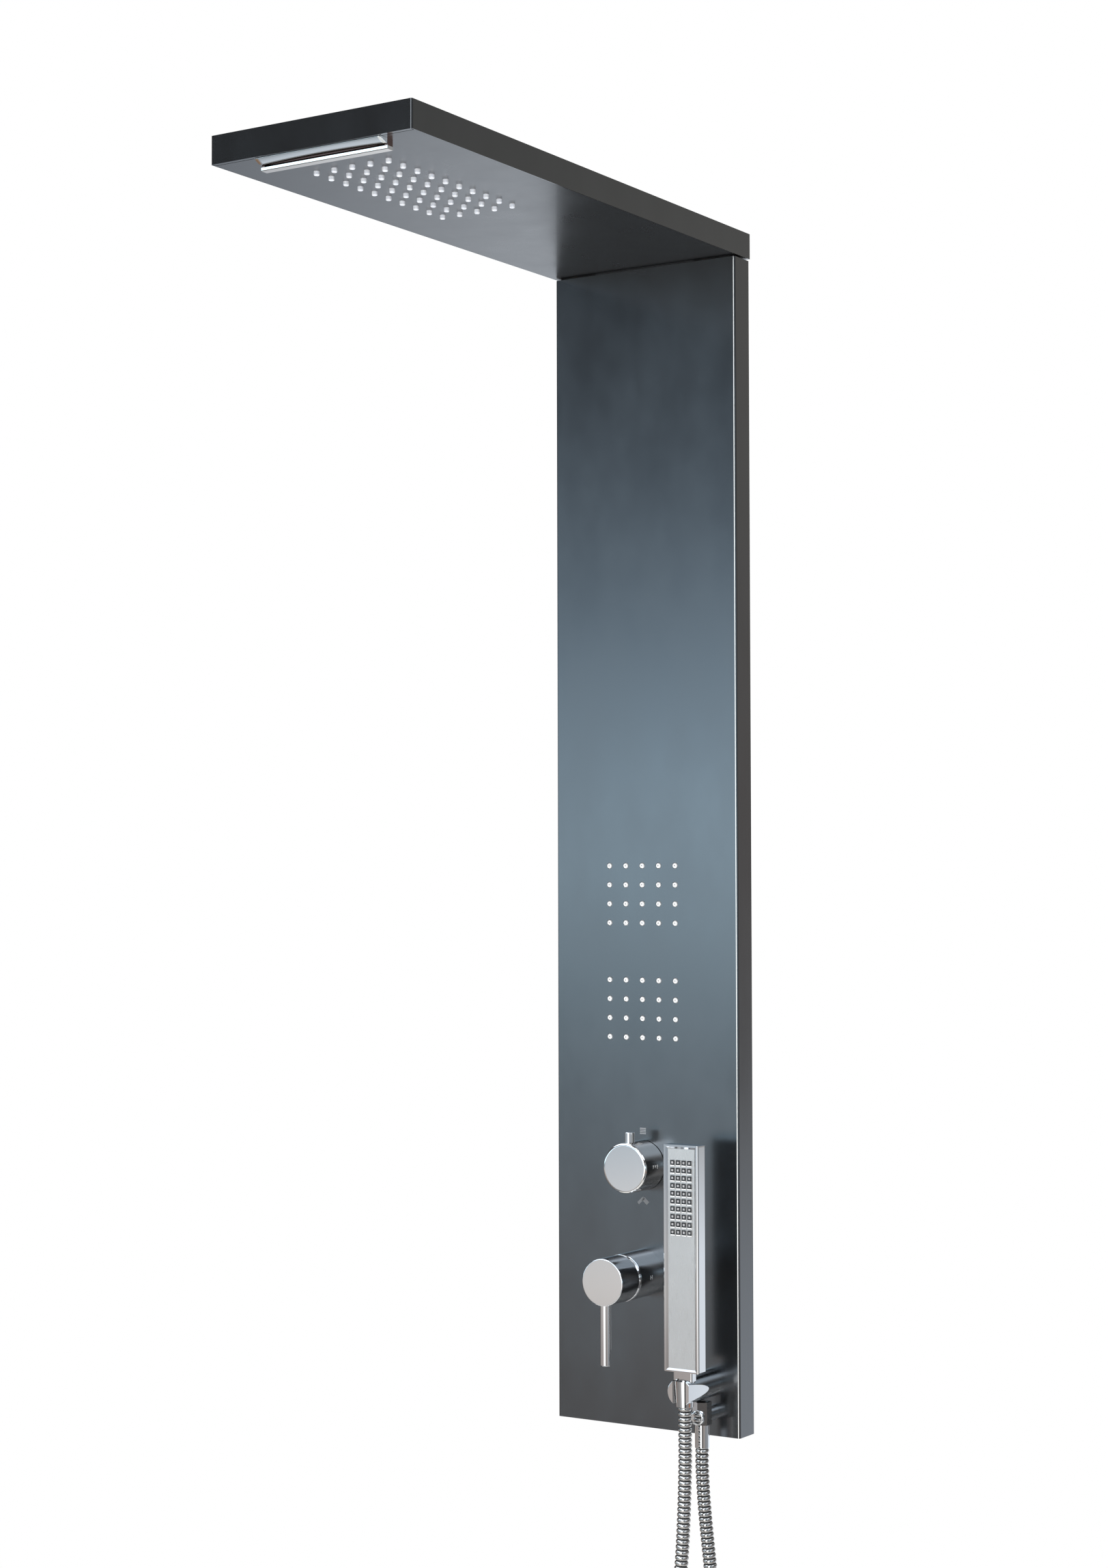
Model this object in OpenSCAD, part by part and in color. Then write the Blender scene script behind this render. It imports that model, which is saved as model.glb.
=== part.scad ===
// Shower panel column: a folded steel column that hangs on two wall brackets,
// with a flat rain head, a waterfall spout, two fields of body jets, a diverter,
// a single-lever mixer and a bar handset on a ribbed hose.
// Heights are measured up from the column's foot. The origin is the middle of
// the upper wall bracket, on the wall, the wall is y = 0 and the front faces -Y.

/* [Column] */
// Width of the column
column_w = 220; // [210:1:260]
// Height of the column up to the underside of the head
column_h = 1217; // [1180:1:1400]
// Depth from the wall to the column's front face
column_depth = 30; // [30:0.5:36]
// Thickness of the folded sheet
sheet_t = 1.2; // [0.8:0.1:1.6]
// Outer radius of the column's folds
bend_r = 2.4; // [1.8:0.1:4]
// Width of the lips folded in at the back
lip_w = 14; // [8:1:20]
// Shadow gap between the column and the head
seam_gap = 1.6; // [0.5:0.1:3]

/* [Head] */
// Reach of the head from the wall
head_reach = 602; // [580:1:700]
// Thickness of the head
head_h = 26.4; // [25:0.1:36]
// Distance that the head stands out beside the column
head_overhang = 1.6; // [0.5:0.1:6]
// Outer radius of the head's front corners
head_bend_r = 1.8; // [1.7:0.1:6]
// Thickness of the underplate
plate_t = 1; // [0.8:0.1:2]
// Width of the hem under the front edge
hem_w = 3; // [2:0.5:8]
// Groove between the hem and the underplate
hem_gap = 1; // [0.4:0.1:2]

/* [Rain nozzles] */
// Nozzles across the head
rain_columns = 5; // [3:1:5]
// Rows of nozzles along the head
rain_rows = 10; // [4:1:10]
// Pitch across the head
rain_pitch_x = 20.3; // [14:0.1:22]
// Pitch along the head
rain_pitch_y = 22.1; // [14:0.1:24]
// Middle of the nozzle field across the head
rain_x = -5; // [-10:1:0]
// First row behind the head's front face
rain_inset = 70; // [66:1:90]
// Diameter of a rain nozzle
rain_nozzle_d = 5.4; // [4:0.1:7]
// Length that a rain nozzle stands out
rain_proud = 4; // [2:0.5:6]

/* [Waterfall spout] */
// Width of the spout
spout_w = 140; // [100:1:150]
// Middle of the spout across the head
spout_x = 6; // [-4:1:10]
// Front face of the spout behind the head's front face
spout_inset = 13; // [10:0.5:20]
// Height of the spout below the head
spout_h = 9.7; // [8:0.1:14]
// Depth of the spout
spout_depth = 8; // [7:0.1:12]
// Height of the water slit
slit_h = 1.6; // [1:0.1:2.5]
// Height of the rounded lip below the slit
spout_lip_h = 3.2; // [2.6:0.1:4]

/* [Body jets] */
// Jets across a field
jet_columns = 5; // [3:1:5]
// Rows in a field
jet_rows = 4; // [2:1:4]
// Pitch of the jets both ways
jet_pitch = 20; // [14:0.5:20]
// Diameter of a jet nozzle
jet_d = 5.5; // [4:0.1:7]
// Length that a jet nozzle stands out
jet_proud = 1.2; // [0.6:0.1:3]
// Height of the lower field's top row
lower_jet_z = 465; // [455:1:470]
// Distance from the lower field's top row up to the upper field's
jet_rise = 120; // [105:1:235]

/* [Controls] */
// Middle of the jets, the diverter and the mixer across the column
control_x = -4; // [-8:0.5:4]
// Height of the diverter
diverter_z = 272; // [266:1:280]
// Diameter of the diverter knob
knob_d = 52; // [50:0.5:60]
// Distance of the knob's face from the column
knob_l = 38; // [36:0.5:44]
// Radius of the knob's front edge
knob_edge_r = 2.6; // [1:0.1:4]
// Diameter of the knob's pin
knob_pin_d = 10; // [6:0.5:12]
// Length of the pin outside the knob
knob_pin_l = 10.5; // [8:0.5:18]
// Height of the mixer
mixer_z = 160; // [156:1:166]
// Outer diameter of the mixer's sleeve
sleeve_d = 48.5; // [48.5:0.1:52]
// Length of the sleeve
sleeve_l = 44; // [43:0.5:48]
// Visible gap between the sleeve and the handle
handle_gap = 5; // [4.5:0.5:7]
// Length of the mixer handle
handle_l = 33; // [32:0.5:40]
// Diameter of the lever
lever_d = 10.8; // [8:0.1:12]
// Length of the lever below the handle
lever_l = 61; // [40:1:70]
// Largest lift of the lever, in degrees
lift_deg = 25; // [15:1:25]

/* [Handset] */
// Middle of the handset across the column
handset_x = 75; // [72:0.5:78]
// Height of the handset's lower end
handset_foot = 73; // [73:0.5:90]
// Width of the handset
handset_w = 41.2; // [38:0.1:46]
// Length of the handset
handset_l = 229; // [200:1:260]
// Thickness of the handset
handset_t = 15; // [14:0.1:20]
// Distance of the handset's middle plane from the wall
handset_stand = 81; // [80:0.5:90]
// Width of the frame beside the face
bezel_side = 5; // [4:0.1:7]
// Width of the frame above the face
bezel_top = 4; // [3:0.1:7]
// Width of the frame below the face
bezel_bottom = 3.4; // [3:0.1:7]
// Depth of the face behind the frame
face_inset = 1.6; // [0.8:0.1:2.4]
// Pitch of the handset's nozzles across
spray_pitch_x = 6.6; // [6:0.1:7]
// Pitch of the handset's nozzles along
spray_pitch_z = 7.8; // [6:0.1:9]
// Side of a square handset nozzle
spray_side = 4.2; // [3:0.1:4.6]

/* [Holder and outlet] */
// Height of the holder's axis
holder_z = 53.4; // [53:0.1:56]
// Diameter of the holder's arm
arm_d = 28; // [27.6:0.1:30]
// Length of the arm in front of the handset's middle plane
arm_nose = 11.5; // [11:0.1:14]
// Width of the slot for the hose
slot_w = 15.4; // [15:0.1:17]
// Middle of the outlet across the column
outlet_x = 79.5; // [78:0.5:82]
// Height of the outlet's axis
outlet_z = 24; // [23:0.5:26]
// Distance of the hose's axis at the outlet from the wall
outlet_stand = 54; // [52:0.5:56]
// Width of the outlet's body across its flats
outlet_af = 17; // [16:0.5:19]

/* [Hose] */
// Outer diameter of the hose over its ribs
hose_d = 14; // [13:0.1:14.4]
// Diameter of the hose's bore
hose_bore = 8; // [6:0.1:8.4]
// Depth of the grooves between the ribs
rib_depth = 0.9; // [0.5:0.1:1.2]
// Ribs on the hose
rib_count = 200; // [120:1:200]

/* [Wall brackets] */
// Distance of the upper bracket's screw holes below the column's top
bracket_drop = 117; // [107:1:137]
// Height of the lower bracket's screw holes
lower_bracket_z = 345; // [335:1:352]
// Length of a bracket
bracket_w = 160; // [140:1:170]
// Thickness of a bracket
bracket_t = 2; // [1.5:0.1:2]
// Distance between a bracket's two holes
bracket_hole_pitch = 120; // [80:1:124]
// Diameter of a bracket's holes
bracket_hole_d = 6; // [5:0.1:7]

/* [Water pipes] */
// Outer diameter of the pipes
pipe_d = 12; // [10:0.5:12]
// Bore of the pipes
pipe_bore = 9; // [6:0.5:9]
// Radius of the pipes' bends
pipe_bend_r = 18; // [16:1:20]
// Diameter of the supply unions' threaded bore
union_bore = 19; // [18:0.1:20]

/* [Fits] */
// Radial clearance of turning fits
run_clear = 0.05; // [0.02:0.01:0.08]
// Clearance of pieces that are joined
fit = 0.1; // [0.05:0.05:0.2]
// Clearance between pieces that rest or hang beside each other
seat_clear = 0.3; // [0.2:0.05:0.4]

/* [Hidden] */
$fn = 48;
// Overrun of every cut
over = 1;

// Column and head
bracket_z = column_h - bracket_drop;
upper_jet_z = lower_jet_z + jet_rise;
foot_z = -bracket_z;
head_z = foot_z + column_h;
inner_w = column_w - 2 * sheet_t;
back_d = column_depth - sheet_t;
head_w = column_w + 2 * head_overhang;
head_inner_w = head_w - 2 * sheet_t;
head_inner_y = sheet_t - head_reach;
plate_front_y = head_inner_y + hem_w + hem_gap;
plate_flange_h = 12;
plate_margin = 5;
plate_rear_rim = 6;
stud_d = 5;
stud_l = 9;

// Bracket that carries the head
carrier_w = 120;
carrier_drop = 80;
carrier_arm = 130;
carrier_t = 2.5;
carrier_rib_h = 12;
carrier_hole_x = 42;
carrier_hole_up = 22;
carrier_hole_out = 24;
carrier_hole_pitch = 70;
carrier_nut_af = 8;
carrier_nut_t = 4;

// Foam strips behind the seam between column and head
gasket_t = 1;
gasket_down = 8;

// Nozzles and chambers
hole_margin = 0.5;
nozzle_edge_r = 1.1;
nozzle_bore = 1.2;
nozzle_fn = 20;
mat_t = 1.5;
chamber_wall = 2;
chamber_margin = 12;
chamber_edge_r = 3;
jet_chamber_depth = 14;
nipple_d = 14;
nipple_l = 5;
nipple_bore = 8;
rain_field_w = (rain_columns - 1) * rain_pitch_x;
rain_field_l = (rain_rows - 1) * rain_pitch_y;
rain_front_y = rain_inset - head_reach;
jet_field_w = (jet_columns - 1) * jet_pitch;
jet_field_h = (jet_rows - 1) * jet_pitch;
jet_chamber_w = jet_field_w + 2 * chamber_margin;
jet_chamber_h = jet_field_h + 2 * chamber_margin;
rain_chamber_w = rain_field_w + 2 * chamber_margin;
rain_chamber_l = rain_field_l + 2 * chamber_margin;
rain_chamber_z = head_z + plate_t + mat_t;
rain_chamber_h = 18;
head_pipe_z = rain_chamber_z + rain_chamber_h / 2;

// Waterfall spout and its chamber
spout_y = spout_inset - head_reach;
spout_neck_w = spout_w - 2 * spout_lip_h;
spout_neck_depth = spout_depth / 2;
spout_neck_h = 3;
spout_edge_r = 1.2;
spout_face_r = 24;
slit_depth_share = 0.6;
slit_depth = spout_depth * slit_depth_share;
fall_chamber_w = spout_w + 2 * nipple_l;
fall_chamber_depth = 26;
fall_chamber_front = spout_y - chamber_wall - spout_edge_r;
fall_chamber_z = head_z + plate_t;
fall_chamber_h = 2 * (head_pipe_z - fall_chamber_z);

// Pipes behind the cover
pipe_back = 19.5;
pipe_y = -pipe_back;
pipe_out = pipe_back - column_depth;
left_riser_side = 16;
right_riser_side = 35;
left_riser_x = left_riser_side - column_w / 2;
right_riser_x = column_w / 2 - right_riser_side;
feed_x = 42;
port_d = 15;
port_root = 20;
port_end = 34;
port_bore_l = 16;
elbow_leg = 26;

// Mixer, measured out from the column's front face
valve_d = 46;
valve_back = 27;
cartridge_d = 35;
cartridge_seat = 14;
neck_d = 38.8;
neck_l = 22;
cartridge_rim = 34;
rotor_d = 28;
rotor_low = 22;
rotor_l = 14;
rotor_step = 4;
rotor_slot_w = 9;
rotor_slot_l = 18;
pivot_out = 30;
pivot_d = 3;
pivot_pin_l = 24;
stem_w = 8;
stem_back = 6;
stem_socket = 14;
cap_nut_d = 42;
cap_nut_back = 10;
cap_nut_lip = 3;
panel_nut_t = 4;
panel_nut_wall = 2.7;
sleeve_wall = 1.5;
handle_back = sleeve_l + handle_gap;
handle_front = handle_back + handle_l;
handle_d = sleeve_d - seat_clear;
handle_wall = 2;
handle_edge_r = 0.9;
handle_web = 22;
socket_end = handle_front - handle_web + stem_socket;
dome_clear = 0.65;
dome_r = norm([handle_back - pivot_out, handle_d / 2 - handle_wall]) - dome_clear;
dome_wall = 2;
dome_mouth = 18;
dome_skirt = 9;
lever_out = 7;
lever_edge_r = 0.8;
lever_stud_d = 8;
lever_stud_l = 8;
scoop_r = 20;
scoop_cut = 3.2;
scoop_middle = 7;
grub_d = 4;
grub_l = 6;
mixer_grub_out = handle_front - 2 * stem_w;
supply_port_x = 26;
supply_port_d = 17;
supply_back = 14.6;
supply_out = supply_back - column_depth;
supply_port_end = 34;
supply_top = mixer_z - supply_port_end;
supply_hose_d = 13;
supply_hose_l = 52;
supply_ferrule_l = 12;
supply_ferrule_d = 15;
union_top = supply_top - supply_hose_l;
union_af = 24;
union_web = 6;
union_depth = 14;
union_flange_d = 17;
union_flange_t = 2;
union_run_out = 0.5;

// Diverter, measured out from the column's front face
// The side ports rise or fall three for every four across
port_run = 4;
port_rise = 3;
side_port = atan2(port_rise, port_run);
port_angles = [side_port, 90, 180 - side_port, 270, -side_port];
diverter_body_d = 44;
diverter_neck_d = 29.8;
diverter_neck_l = 12;
diverter_cartridge_d = 25;
diverter_seat = 20;
diverter_rim = 20;
spindle_d = 12;
spindle_back = 6;
spindle_neck_d = 8;
diverter_nut_wall = 4;
diverter_nut_t = 5;
knob_back = 1;
knob_wall = 3.5;
knob_web = 8;
knob_stud_d = 6;
spindle_end = knob_l - knob_web;
hub_d = 24;
hub_l = 8;
knob_pin_in = 11;
knob_grub_out = spindle_end - hub_l / 2;

// Handset
handset_z = foot_z + handset_foot;
handset_front = -handset_t / 2;
handset_edge_r = 1.6;
handset_wall = 2;
bezel_bevel = 2;
face_w = handset_w - 2 * bezel_side;
face_l = handset_l - bezel_top - bezel_bottom;
face_z = bezel_bottom + face_l / 2;
face_t = 1.6;
face_ledge = 1.5;
spray_columns = 4;
spray_rows = 10;
spray_top = 18;
spray_proud = 0.9;
spray_bore = 1.9;
spray_mat_t = 1.5;
spray_margin = 1.5;
spray_mat_w = (spray_columns - 1) * spray_pitch_x + spray_side + 2 * spray_margin;
spray_mat_l = (spray_rows - 1) * spray_pitch_z + spray_side + 2 * spray_margin;
spray_middle = handset_l - spray_top - (spray_rows - 1) * spray_pitch_z / 2;
neck_w = 22;
neck_depth = 10;
neck_h = 9;
spigot_d = 14;
spigot_l = 15;
cone_top = handset_foot - neck_h;
cone_top_r = 10.6;
cone_l = 26;
cone_bottom_r = 9.2;

// Holder and outlet
arm_l = handset_stand + arm_nose - column_depth;
arm_seat = handset_stand - column_depth;
arm_edge_r = 0.8;
arm_flat_x = 11;
arm_flat_l = 36;
holder_screw_d = 8;
holder_screw_l = 24;
holder_head_d = 14;
holder_head_t = 5;
outlet_out = outlet_stand - column_depth;
outlet_above = 15;
outlet_below = 8;
outlet_neck_d = 15;
outlet_tail = 22;
outlet_cap_d = 15;
outlet_cap_l = 3;
outlet_cap_r = 1.6;
banjo_d = 22;
banjo_back = 18;
outlet_stub_l = 16;
outlet_nut_af = 22;
outlet_nut_t = 3;
ferrule_d = 15;
ferrule_l = 24;

// Wall brackets and the rails that hang on them
bracket_below = 20;
bracket_shelf = 14;
hook_stand = 6.2;
hook_h = 12;
rail_t = 2;
rail_drop_back = 10;
rail_drop_front = 22;

// The hose's route from the cone nut to the ferrule, heights from the foot
hose_route = [
    [75, -81, 38], [75, -81, 20], [75, -81, -20], [74, -83, -80], [72, -86, -130],
    [68, -92, -180], [61, -102, -230], [52, -116, -290], [43, -129, -340], [37, -138, -380],
    [37, -139, -410], [44, -128, -442], [58, -104, -466], [73, -78, -474], [89, -51, -464],
    [102, -30, -438], [109, -19, -405], [107, -21, -360], [102, -28, -300], [95, -36, -240],
    [88, -43, -180], [84, -48, -120], [81, -52, -70], [79.5, -54, -30], [79.5, -54, -8]
];
hose_normal = [-0.853, 0.523, 0];
hose_sides = 8;
hose_steps = 12;
hose_bore_every = 8;
hose_gap_step = 8;
hose_gap_skip = 10;

// A frame on the column's front face: +Z comes out of it and +Y goes up
module on_panel(x, z) {
    translate([x, -column_depth, foot_z + z]) rotate([90, 0, 0]) children();
}

// A box given by its lowest and highest corner
module block(low, high) {
    translate(low) cube(high - low);
}

module rod(d, from, to) {
    translate([0, 0, from]) cylinder(d = d, h = to - from);
}

module tube(d, bore, from, to) {
    difference() {
        rod(d, from, to);
        rod(bore, from - over, to + over);
    }
}

module cone(bottom_r, top_r, from, to) {
    translate([0, 0, from]) cylinder(r1 = bottom_r, r2 = top_r, h = to - from);
}

// A hexagon, flats on its local X sides
module hex_rod(across_flats, from, to) {
    translate([0, 0, from]) rotate(30) cylinder(d = across_flats / cos(30), h = to - from, $fn = 6);
}

// A round plug that stands on z = 0, its upper edge rounded
module rounded_plug(d, h, r) {
    rotate_extrude() {
        square([d / 2 - r, h]);
        square([d / 2, h - r]);
        translate([d / 2 - r, h - r]) intersection() {
            circle(r);
            square(r);
        }
    }
}

// A rectangle with rounded front corners, its back on y = 0
module tray_outline(w, d, r) {
    translate([r - w / 2, -d]) square([w - 2 * r, d]);
    translate([-w / 2, r - d]) square([w, d - r]);
    for (side = [-1, 1]) translate([side * (w / 2 - r), r - d]) circle(r);
}

// A rectangle about the origin with four rounded corners
module rounded_rect(w, h, r) {
    square([w - 2 * r, h], center = true);
    square([w, h - 2 * r], center = true);
    for (x = [-1, 1], y = [-1, 1]) translate([x * (w / 2 - r), y * (h / 2 - r)]) circle(r);
}

// An outline drawn in y and z, drawn out along x about the middle
module across(w) {
    rotate([90, 0, 90]) linear_extrude(w, center = true) children();
}

// A square in y and z, from one corner to the other
module patch(low, high) {
    translate(low) square(high - low);
}

function unit(v) = v / norm(v);

// A straight run of round bar from a to b
module bar_run(a, b, d) {
    way = unit(b - a);
    translate(a) rotate([0, acos(way[2]), atan2(way[1], way[0])]) cylinder(d = d, h = norm(b - a));
}

// The bend at p between two unit directions
module bar_bend(p, way_in, way_out, d, r) {
    turn = acos(way_in * way_out);
    far = 2 * r;
    start = p - way_in * (r * tan(turn / 2));
    across_way = unit(cross(way_in, way_out));
    inward = cross(across_way, way_in);
    middle = start + inward * r;
    multmatrix([
        [-inward[0], way_in[0], across_way[0], middle[0]],
        [-inward[1], way_in[1], across_way[1], middle[1]],
        [-inward[2], way_in[2], across_way[2], middle[2]],
        [0, 0, 0, 1]
    ]) intersection() {
        rotate_extrude() translate([r, 0]) circle(d = d);
        linear_extrude(2 * d, center = true)
            polygon([[0, 0], [far, 0], [far, far * tan(turn / 2)], [far * cos(turn), far * sin(turn)]]);
    }
}

// Length of the straight that a bend takes on each side of its corner
function bend_reach(a, p, b, r) = r * tan(acos(unit(p - a) * unit(b - p)) / 2);

// A round bar through a list of points, its inner corners bent
module bar_path(points, d, r) {
    last = len(points) - 1;
    for (i = [0:last - 1]) {
        way = unit(points[i + 1] - points[i]);
        skip = i == 0 ? 0 : bend_reach(points[i - 1], points[i], points[i + 1], r);
        stop = i == last - 1 ? 0 : bend_reach(points[i], points[i + 1], points[i + 2], r);
        bar_run(points[i] + way * skip, points[i + 1] - way * stop, d);
    }
    if (last > 1) for (i = [1:last - 1])
        bar_bend(points[i], unit(points[i] - points[i - 1]), unit(points[i + 1] - points[i]), d, r);
}

// The same points, with both ends moved out by the overrun
function run_over(points) = let (last = len(points) - 1) [
    for (i = [0:last])
        i == 0 ? points[0] - unit(points[1] - points[0]) * over
        : i == last ? points[last] + unit(points[last] - points[last - 1]) * over
        : points[i]
];

module pipe(points) {
    difference() {
        bar_path(points, pipe_d, pipe_bend_r);
        bar_path(run_over(points), pipe_bore, pipe_bend_r);
    }
}

// Places of the nozzles in a field that goes down from its top row
module jet_places(top_z) {
    for (row = [0:jet_rows - 1], column = [0:jet_columns - 1])
        on_panel(control_x + column * jet_pitch - jet_field_w / 2, top_z - row * jet_pitch) children();
}

// Places of the rain nozzles on the head's underside, +Z up
module rain_places() {
    for (row = [0:rain_rows - 1], column = [0:rain_columns - 1])
        translate([
            rain_x + column * rain_pitch_x - rain_field_w / 2,
            rain_front_y + row * rain_pitch_y,
            head_z
        ]) children();
}

// Places of the welded studs on the column and on the underplate
module column_stud_places() {
    for (side = [-1, 1])
        translate([side * carrier_hole_x, -back_d, head_z - carrier_hole_up]) rotate([-90, 0, 0]) children();
}

module plate_stud_places() {
    for (side = [-1, 1], row = [0, 1])
        translate([
            side * carrier_hole_x,
            -back_d - carrier_hole_out - row * carrier_hole_pitch,
            head_z + plate_t
        ]) children();
}

module column_cover() color("#3c444b") {
    difference() {
        union() {
            translate([0, 0, foot_z]) linear_extrude(column_h - seam_gap) difference() {
                tray_outline(column_w, column_depth, bend_r);
                translate([0, -sheet_t]) tray_outline(inner_w, back_d - sheet_t, bend_r - sheet_t);
                translate([lip_w - inner_w / 2, -sheet_t - over]) square([inner_w - 2 * lip_w, sheet_t + 2 * over]);
            }
            translate([0, 0, foot_z]) linear_extrude(sheet_t) tray_outline(column_w, column_depth, bend_r);
        }
        for (top_z = [upper_jet_z, lower_jet_z]) jet_places(top_z)
            rod(jet_d + 2 * hole_margin, -sheet_t - over, over);
        on_panel(control_x, diverter_z) rod(diverter_neck_d + 2 * fit, -sheet_t - over, over);
        on_panel(control_x, mixer_z) rod(neck_d + 2 * fit, -sheet_t - over, over);
        on_panel(handset_x, holder_z) rod(holder_screw_d + 2 * fit, -sheet_t - over, over);
        on_panel(outlet_x, outlet_z) rod(outlet_neck_d + 2 * fit, -sheet_t - over, over);
    }
    column_stud_places() rod(stud_d, 0, stud_l);
}

module head_cover() color("#34383b") {
    translate([0, 0, head_z]) {
        difference() {
            linear_extrude(head_h) tray_outline(head_w, head_reach, head_bend_r);
            translate([0, -sheet_t, -over]) linear_extrude(head_h - sheet_t + over)
                tray_outline(head_inner_w, head_reach - 2 * sheet_t, head_bend_r - sheet_t);
        }
        block([head_bend_r - head_w / 2, head_inner_y, 0], [head_w / 2 - head_bend_r, head_inner_y + hem_w, sheet_t]);
    }
}

module head_underplate() color("#8c9093") {
    half = head_inner_w / 2 - fit;
    rear = -sheet_t - fit;
    difference() {
        union() {
            block([-half, plate_front_y, head_z], [half, rear, head_z + plate_t]);
            for (side = [-1, 1])
                translate([side * (half - plate_t / 2), (plate_front_y + rear) / 2, head_z + plate_flange_h / 2])
                    cube([plate_t, rear - plate_front_y, plate_flange_h], center = true);
        }
        rain_places() rod(rain_nozzle_d + 2 * fit, -over, plate_t + over);
        translate([0, 0, head_z]) {
            block(
                [spout_x - spout_neck_w / 2 - fit, spout_y + spout_neck_depth / 2 - fit, -over],
                [spout_x + spout_neck_w / 2 + fit, spout_y + spout_neck_depth * 3 / 2 + fit, plate_t + over]
            );
            block(
                [plate_margin - inner_w / 2, -back_d, -over],
                [inner_w / 2 - plate_margin, -plate_rear_rim, plate_t + over]
            );
        }
    }
    plate_stud_places() rod(stud_d, 0, stud_l);
}

module head_bracket() color("silver") difference() {
    union() {
        block(
            [-carrier_w / 2, -back_d, head_z - carrier_drop],
            [carrier_w / 2, carrier_t - back_d, head_z + plate_t + carrier_t]
        );
        block(
            [-carrier_w / 2, -back_d - carrier_arm, head_z + plate_t],
            [carrier_w / 2, carrier_t - back_d, head_z + plate_t + carrier_t]
        );
        for (side = [-1, 1])
            translate([side * (carrier_w - carrier_t) / 2, carrier_t / 2 - back_d - carrier_arm / 2,
                head_z + plate_t + carrier_t + carrier_rib_h / 2])
                cube([carrier_t, carrier_arm + carrier_t, carrier_rib_h], center = true);
    }
    column_stud_places() rod(stud_d + 2 * fit, -over, carrier_t + over);
    plate_stud_places() rod(stud_d + 2 * fit, -over, carrier_t + over);
}

module bracket_nuts() color("gainsboro") {
    column_stud_places() difference() {
        hex_rod(carrier_nut_af, carrier_t, carrier_t + carrier_nut_t);
        rod(stud_d + 2 * fit, 0, stud_l + over);
    }
    plate_stud_places() difference() {
        hex_rod(carrier_nut_af, carrier_t, carrier_t + carrier_nut_t);
        rod(stud_d + 2 * fit, 0, stud_l + over);
    }
}

// Two foam strips that close the view through the seam on both sides of the bracket
module seam_gaskets() color("#1c1d1f") for (side = [0, 1]) mirror([side, 0, 0]) difference() {
    outer_x = inner_w / 2 - plate_margin - fit;
    front_y = fit - back_d;
    low_z = head_z - seam_gap - gasket_down;
    block(
        [carrier_w / 2 + seat_clear, front_y, low_z],
        [outer_x, -plate_rear_rim - fit, head_z - fit]
    );
    block(
        [carrier_w / 2, front_y + gasket_t, low_z - over],
        [outer_x - gasket_t, 0, head_z + over]
    );
}

// A soft nozzle of length h with a fine bore
module nozzle(d, h) {
    difference() {
        rounded_plug(d, h, nozzle_edge_r, $fn = nozzle_fn);
        rod(nozzle_bore, h - nozzle_edge_r - mat_t, h + over);
    }
}

module rain_nozzles() color("white") {
    translate([0, 0, head_z + plate_t]) linear_extrude(mat_t)
        translate([rain_x, rain_front_y + rain_field_l / 2])
            rounded_rect(rain_chamber_w, rain_chamber_l, chamber_edge_r);
    rain_places() translate([0, 0, plate_t]) mirror([0, 0, 1]) nozzle(rain_nozzle_d, plate_t + rain_proud);
}

module rain_chamber() color("dimgray") {
    side_x = rain_x + rain_chamber_w / 2;
    rear_y = rain_front_y + rain_field_l;
    difference() {
        union() {
            translate([rain_x, rain_front_y + rain_field_l / 2, rain_chamber_z]) linear_extrude(rain_chamber_h)
                rounded_rect(rain_chamber_w, rain_chamber_l, chamber_edge_r);
            translate([side_x - chamber_wall, rear_y, head_pipe_z]) rotate([0, 90, 0])
                rod(nipple_d, 0, chamber_wall + nipple_l);
        }
        translate([rain_x, rain_front_y + rain_field_l / 2, rain_chamber_z - over])
            linear_extrude(rain_chamber_h - chamber_wall + over)
                rounded_rect(rain_chamber_w - 2 * chamber_wall, rain_chamber_l - 2 * chamber_wall,
                    chamber_edge_r - chamber_wall);
        translate([side_x, rear_y, head_pipe_z]) rotate([0, 90, 0])
            rod(nipple_bore, -chamber_wall - over, nipple_l + over);
    }
}

// The spout: a bar with a rounded lip, a slit above it and a neck into the head
module waterfall_spout() color("gainsboro") {
    low = -spout_h;
    slit_low = low + spout_lip_h;
    difference() {
        translate([spout_x, spout_y, head_z]) across(spout_w) {
            patch([spout_edge_r, low], [spout_depth, 0]);
            intersection() {
                patch([0, slit_low], [spout_depth, 0]);
                translate([spout_face_r, 0]) circle(spout_face_r);
            }
            patch([0, low + spout_edge_r], [spout_depth, slit_low]);
            translate([spout_edge_r, low + spout_edge_r]) circle(spout_edge_r);
        }
        translate([spout_x, spout_y, head_z]) across(spout_neck_w) patch([-over, slit_low], [slit_depth, slit_low + slit_h]);
    }
    translate([spout_x, spout_y, head_z]) across(spout_neck_w)
        patch([spout_neck_depth / 2, 0], [spout_neck_depth * 3 / 2, spout_neck_h]);
}

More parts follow.
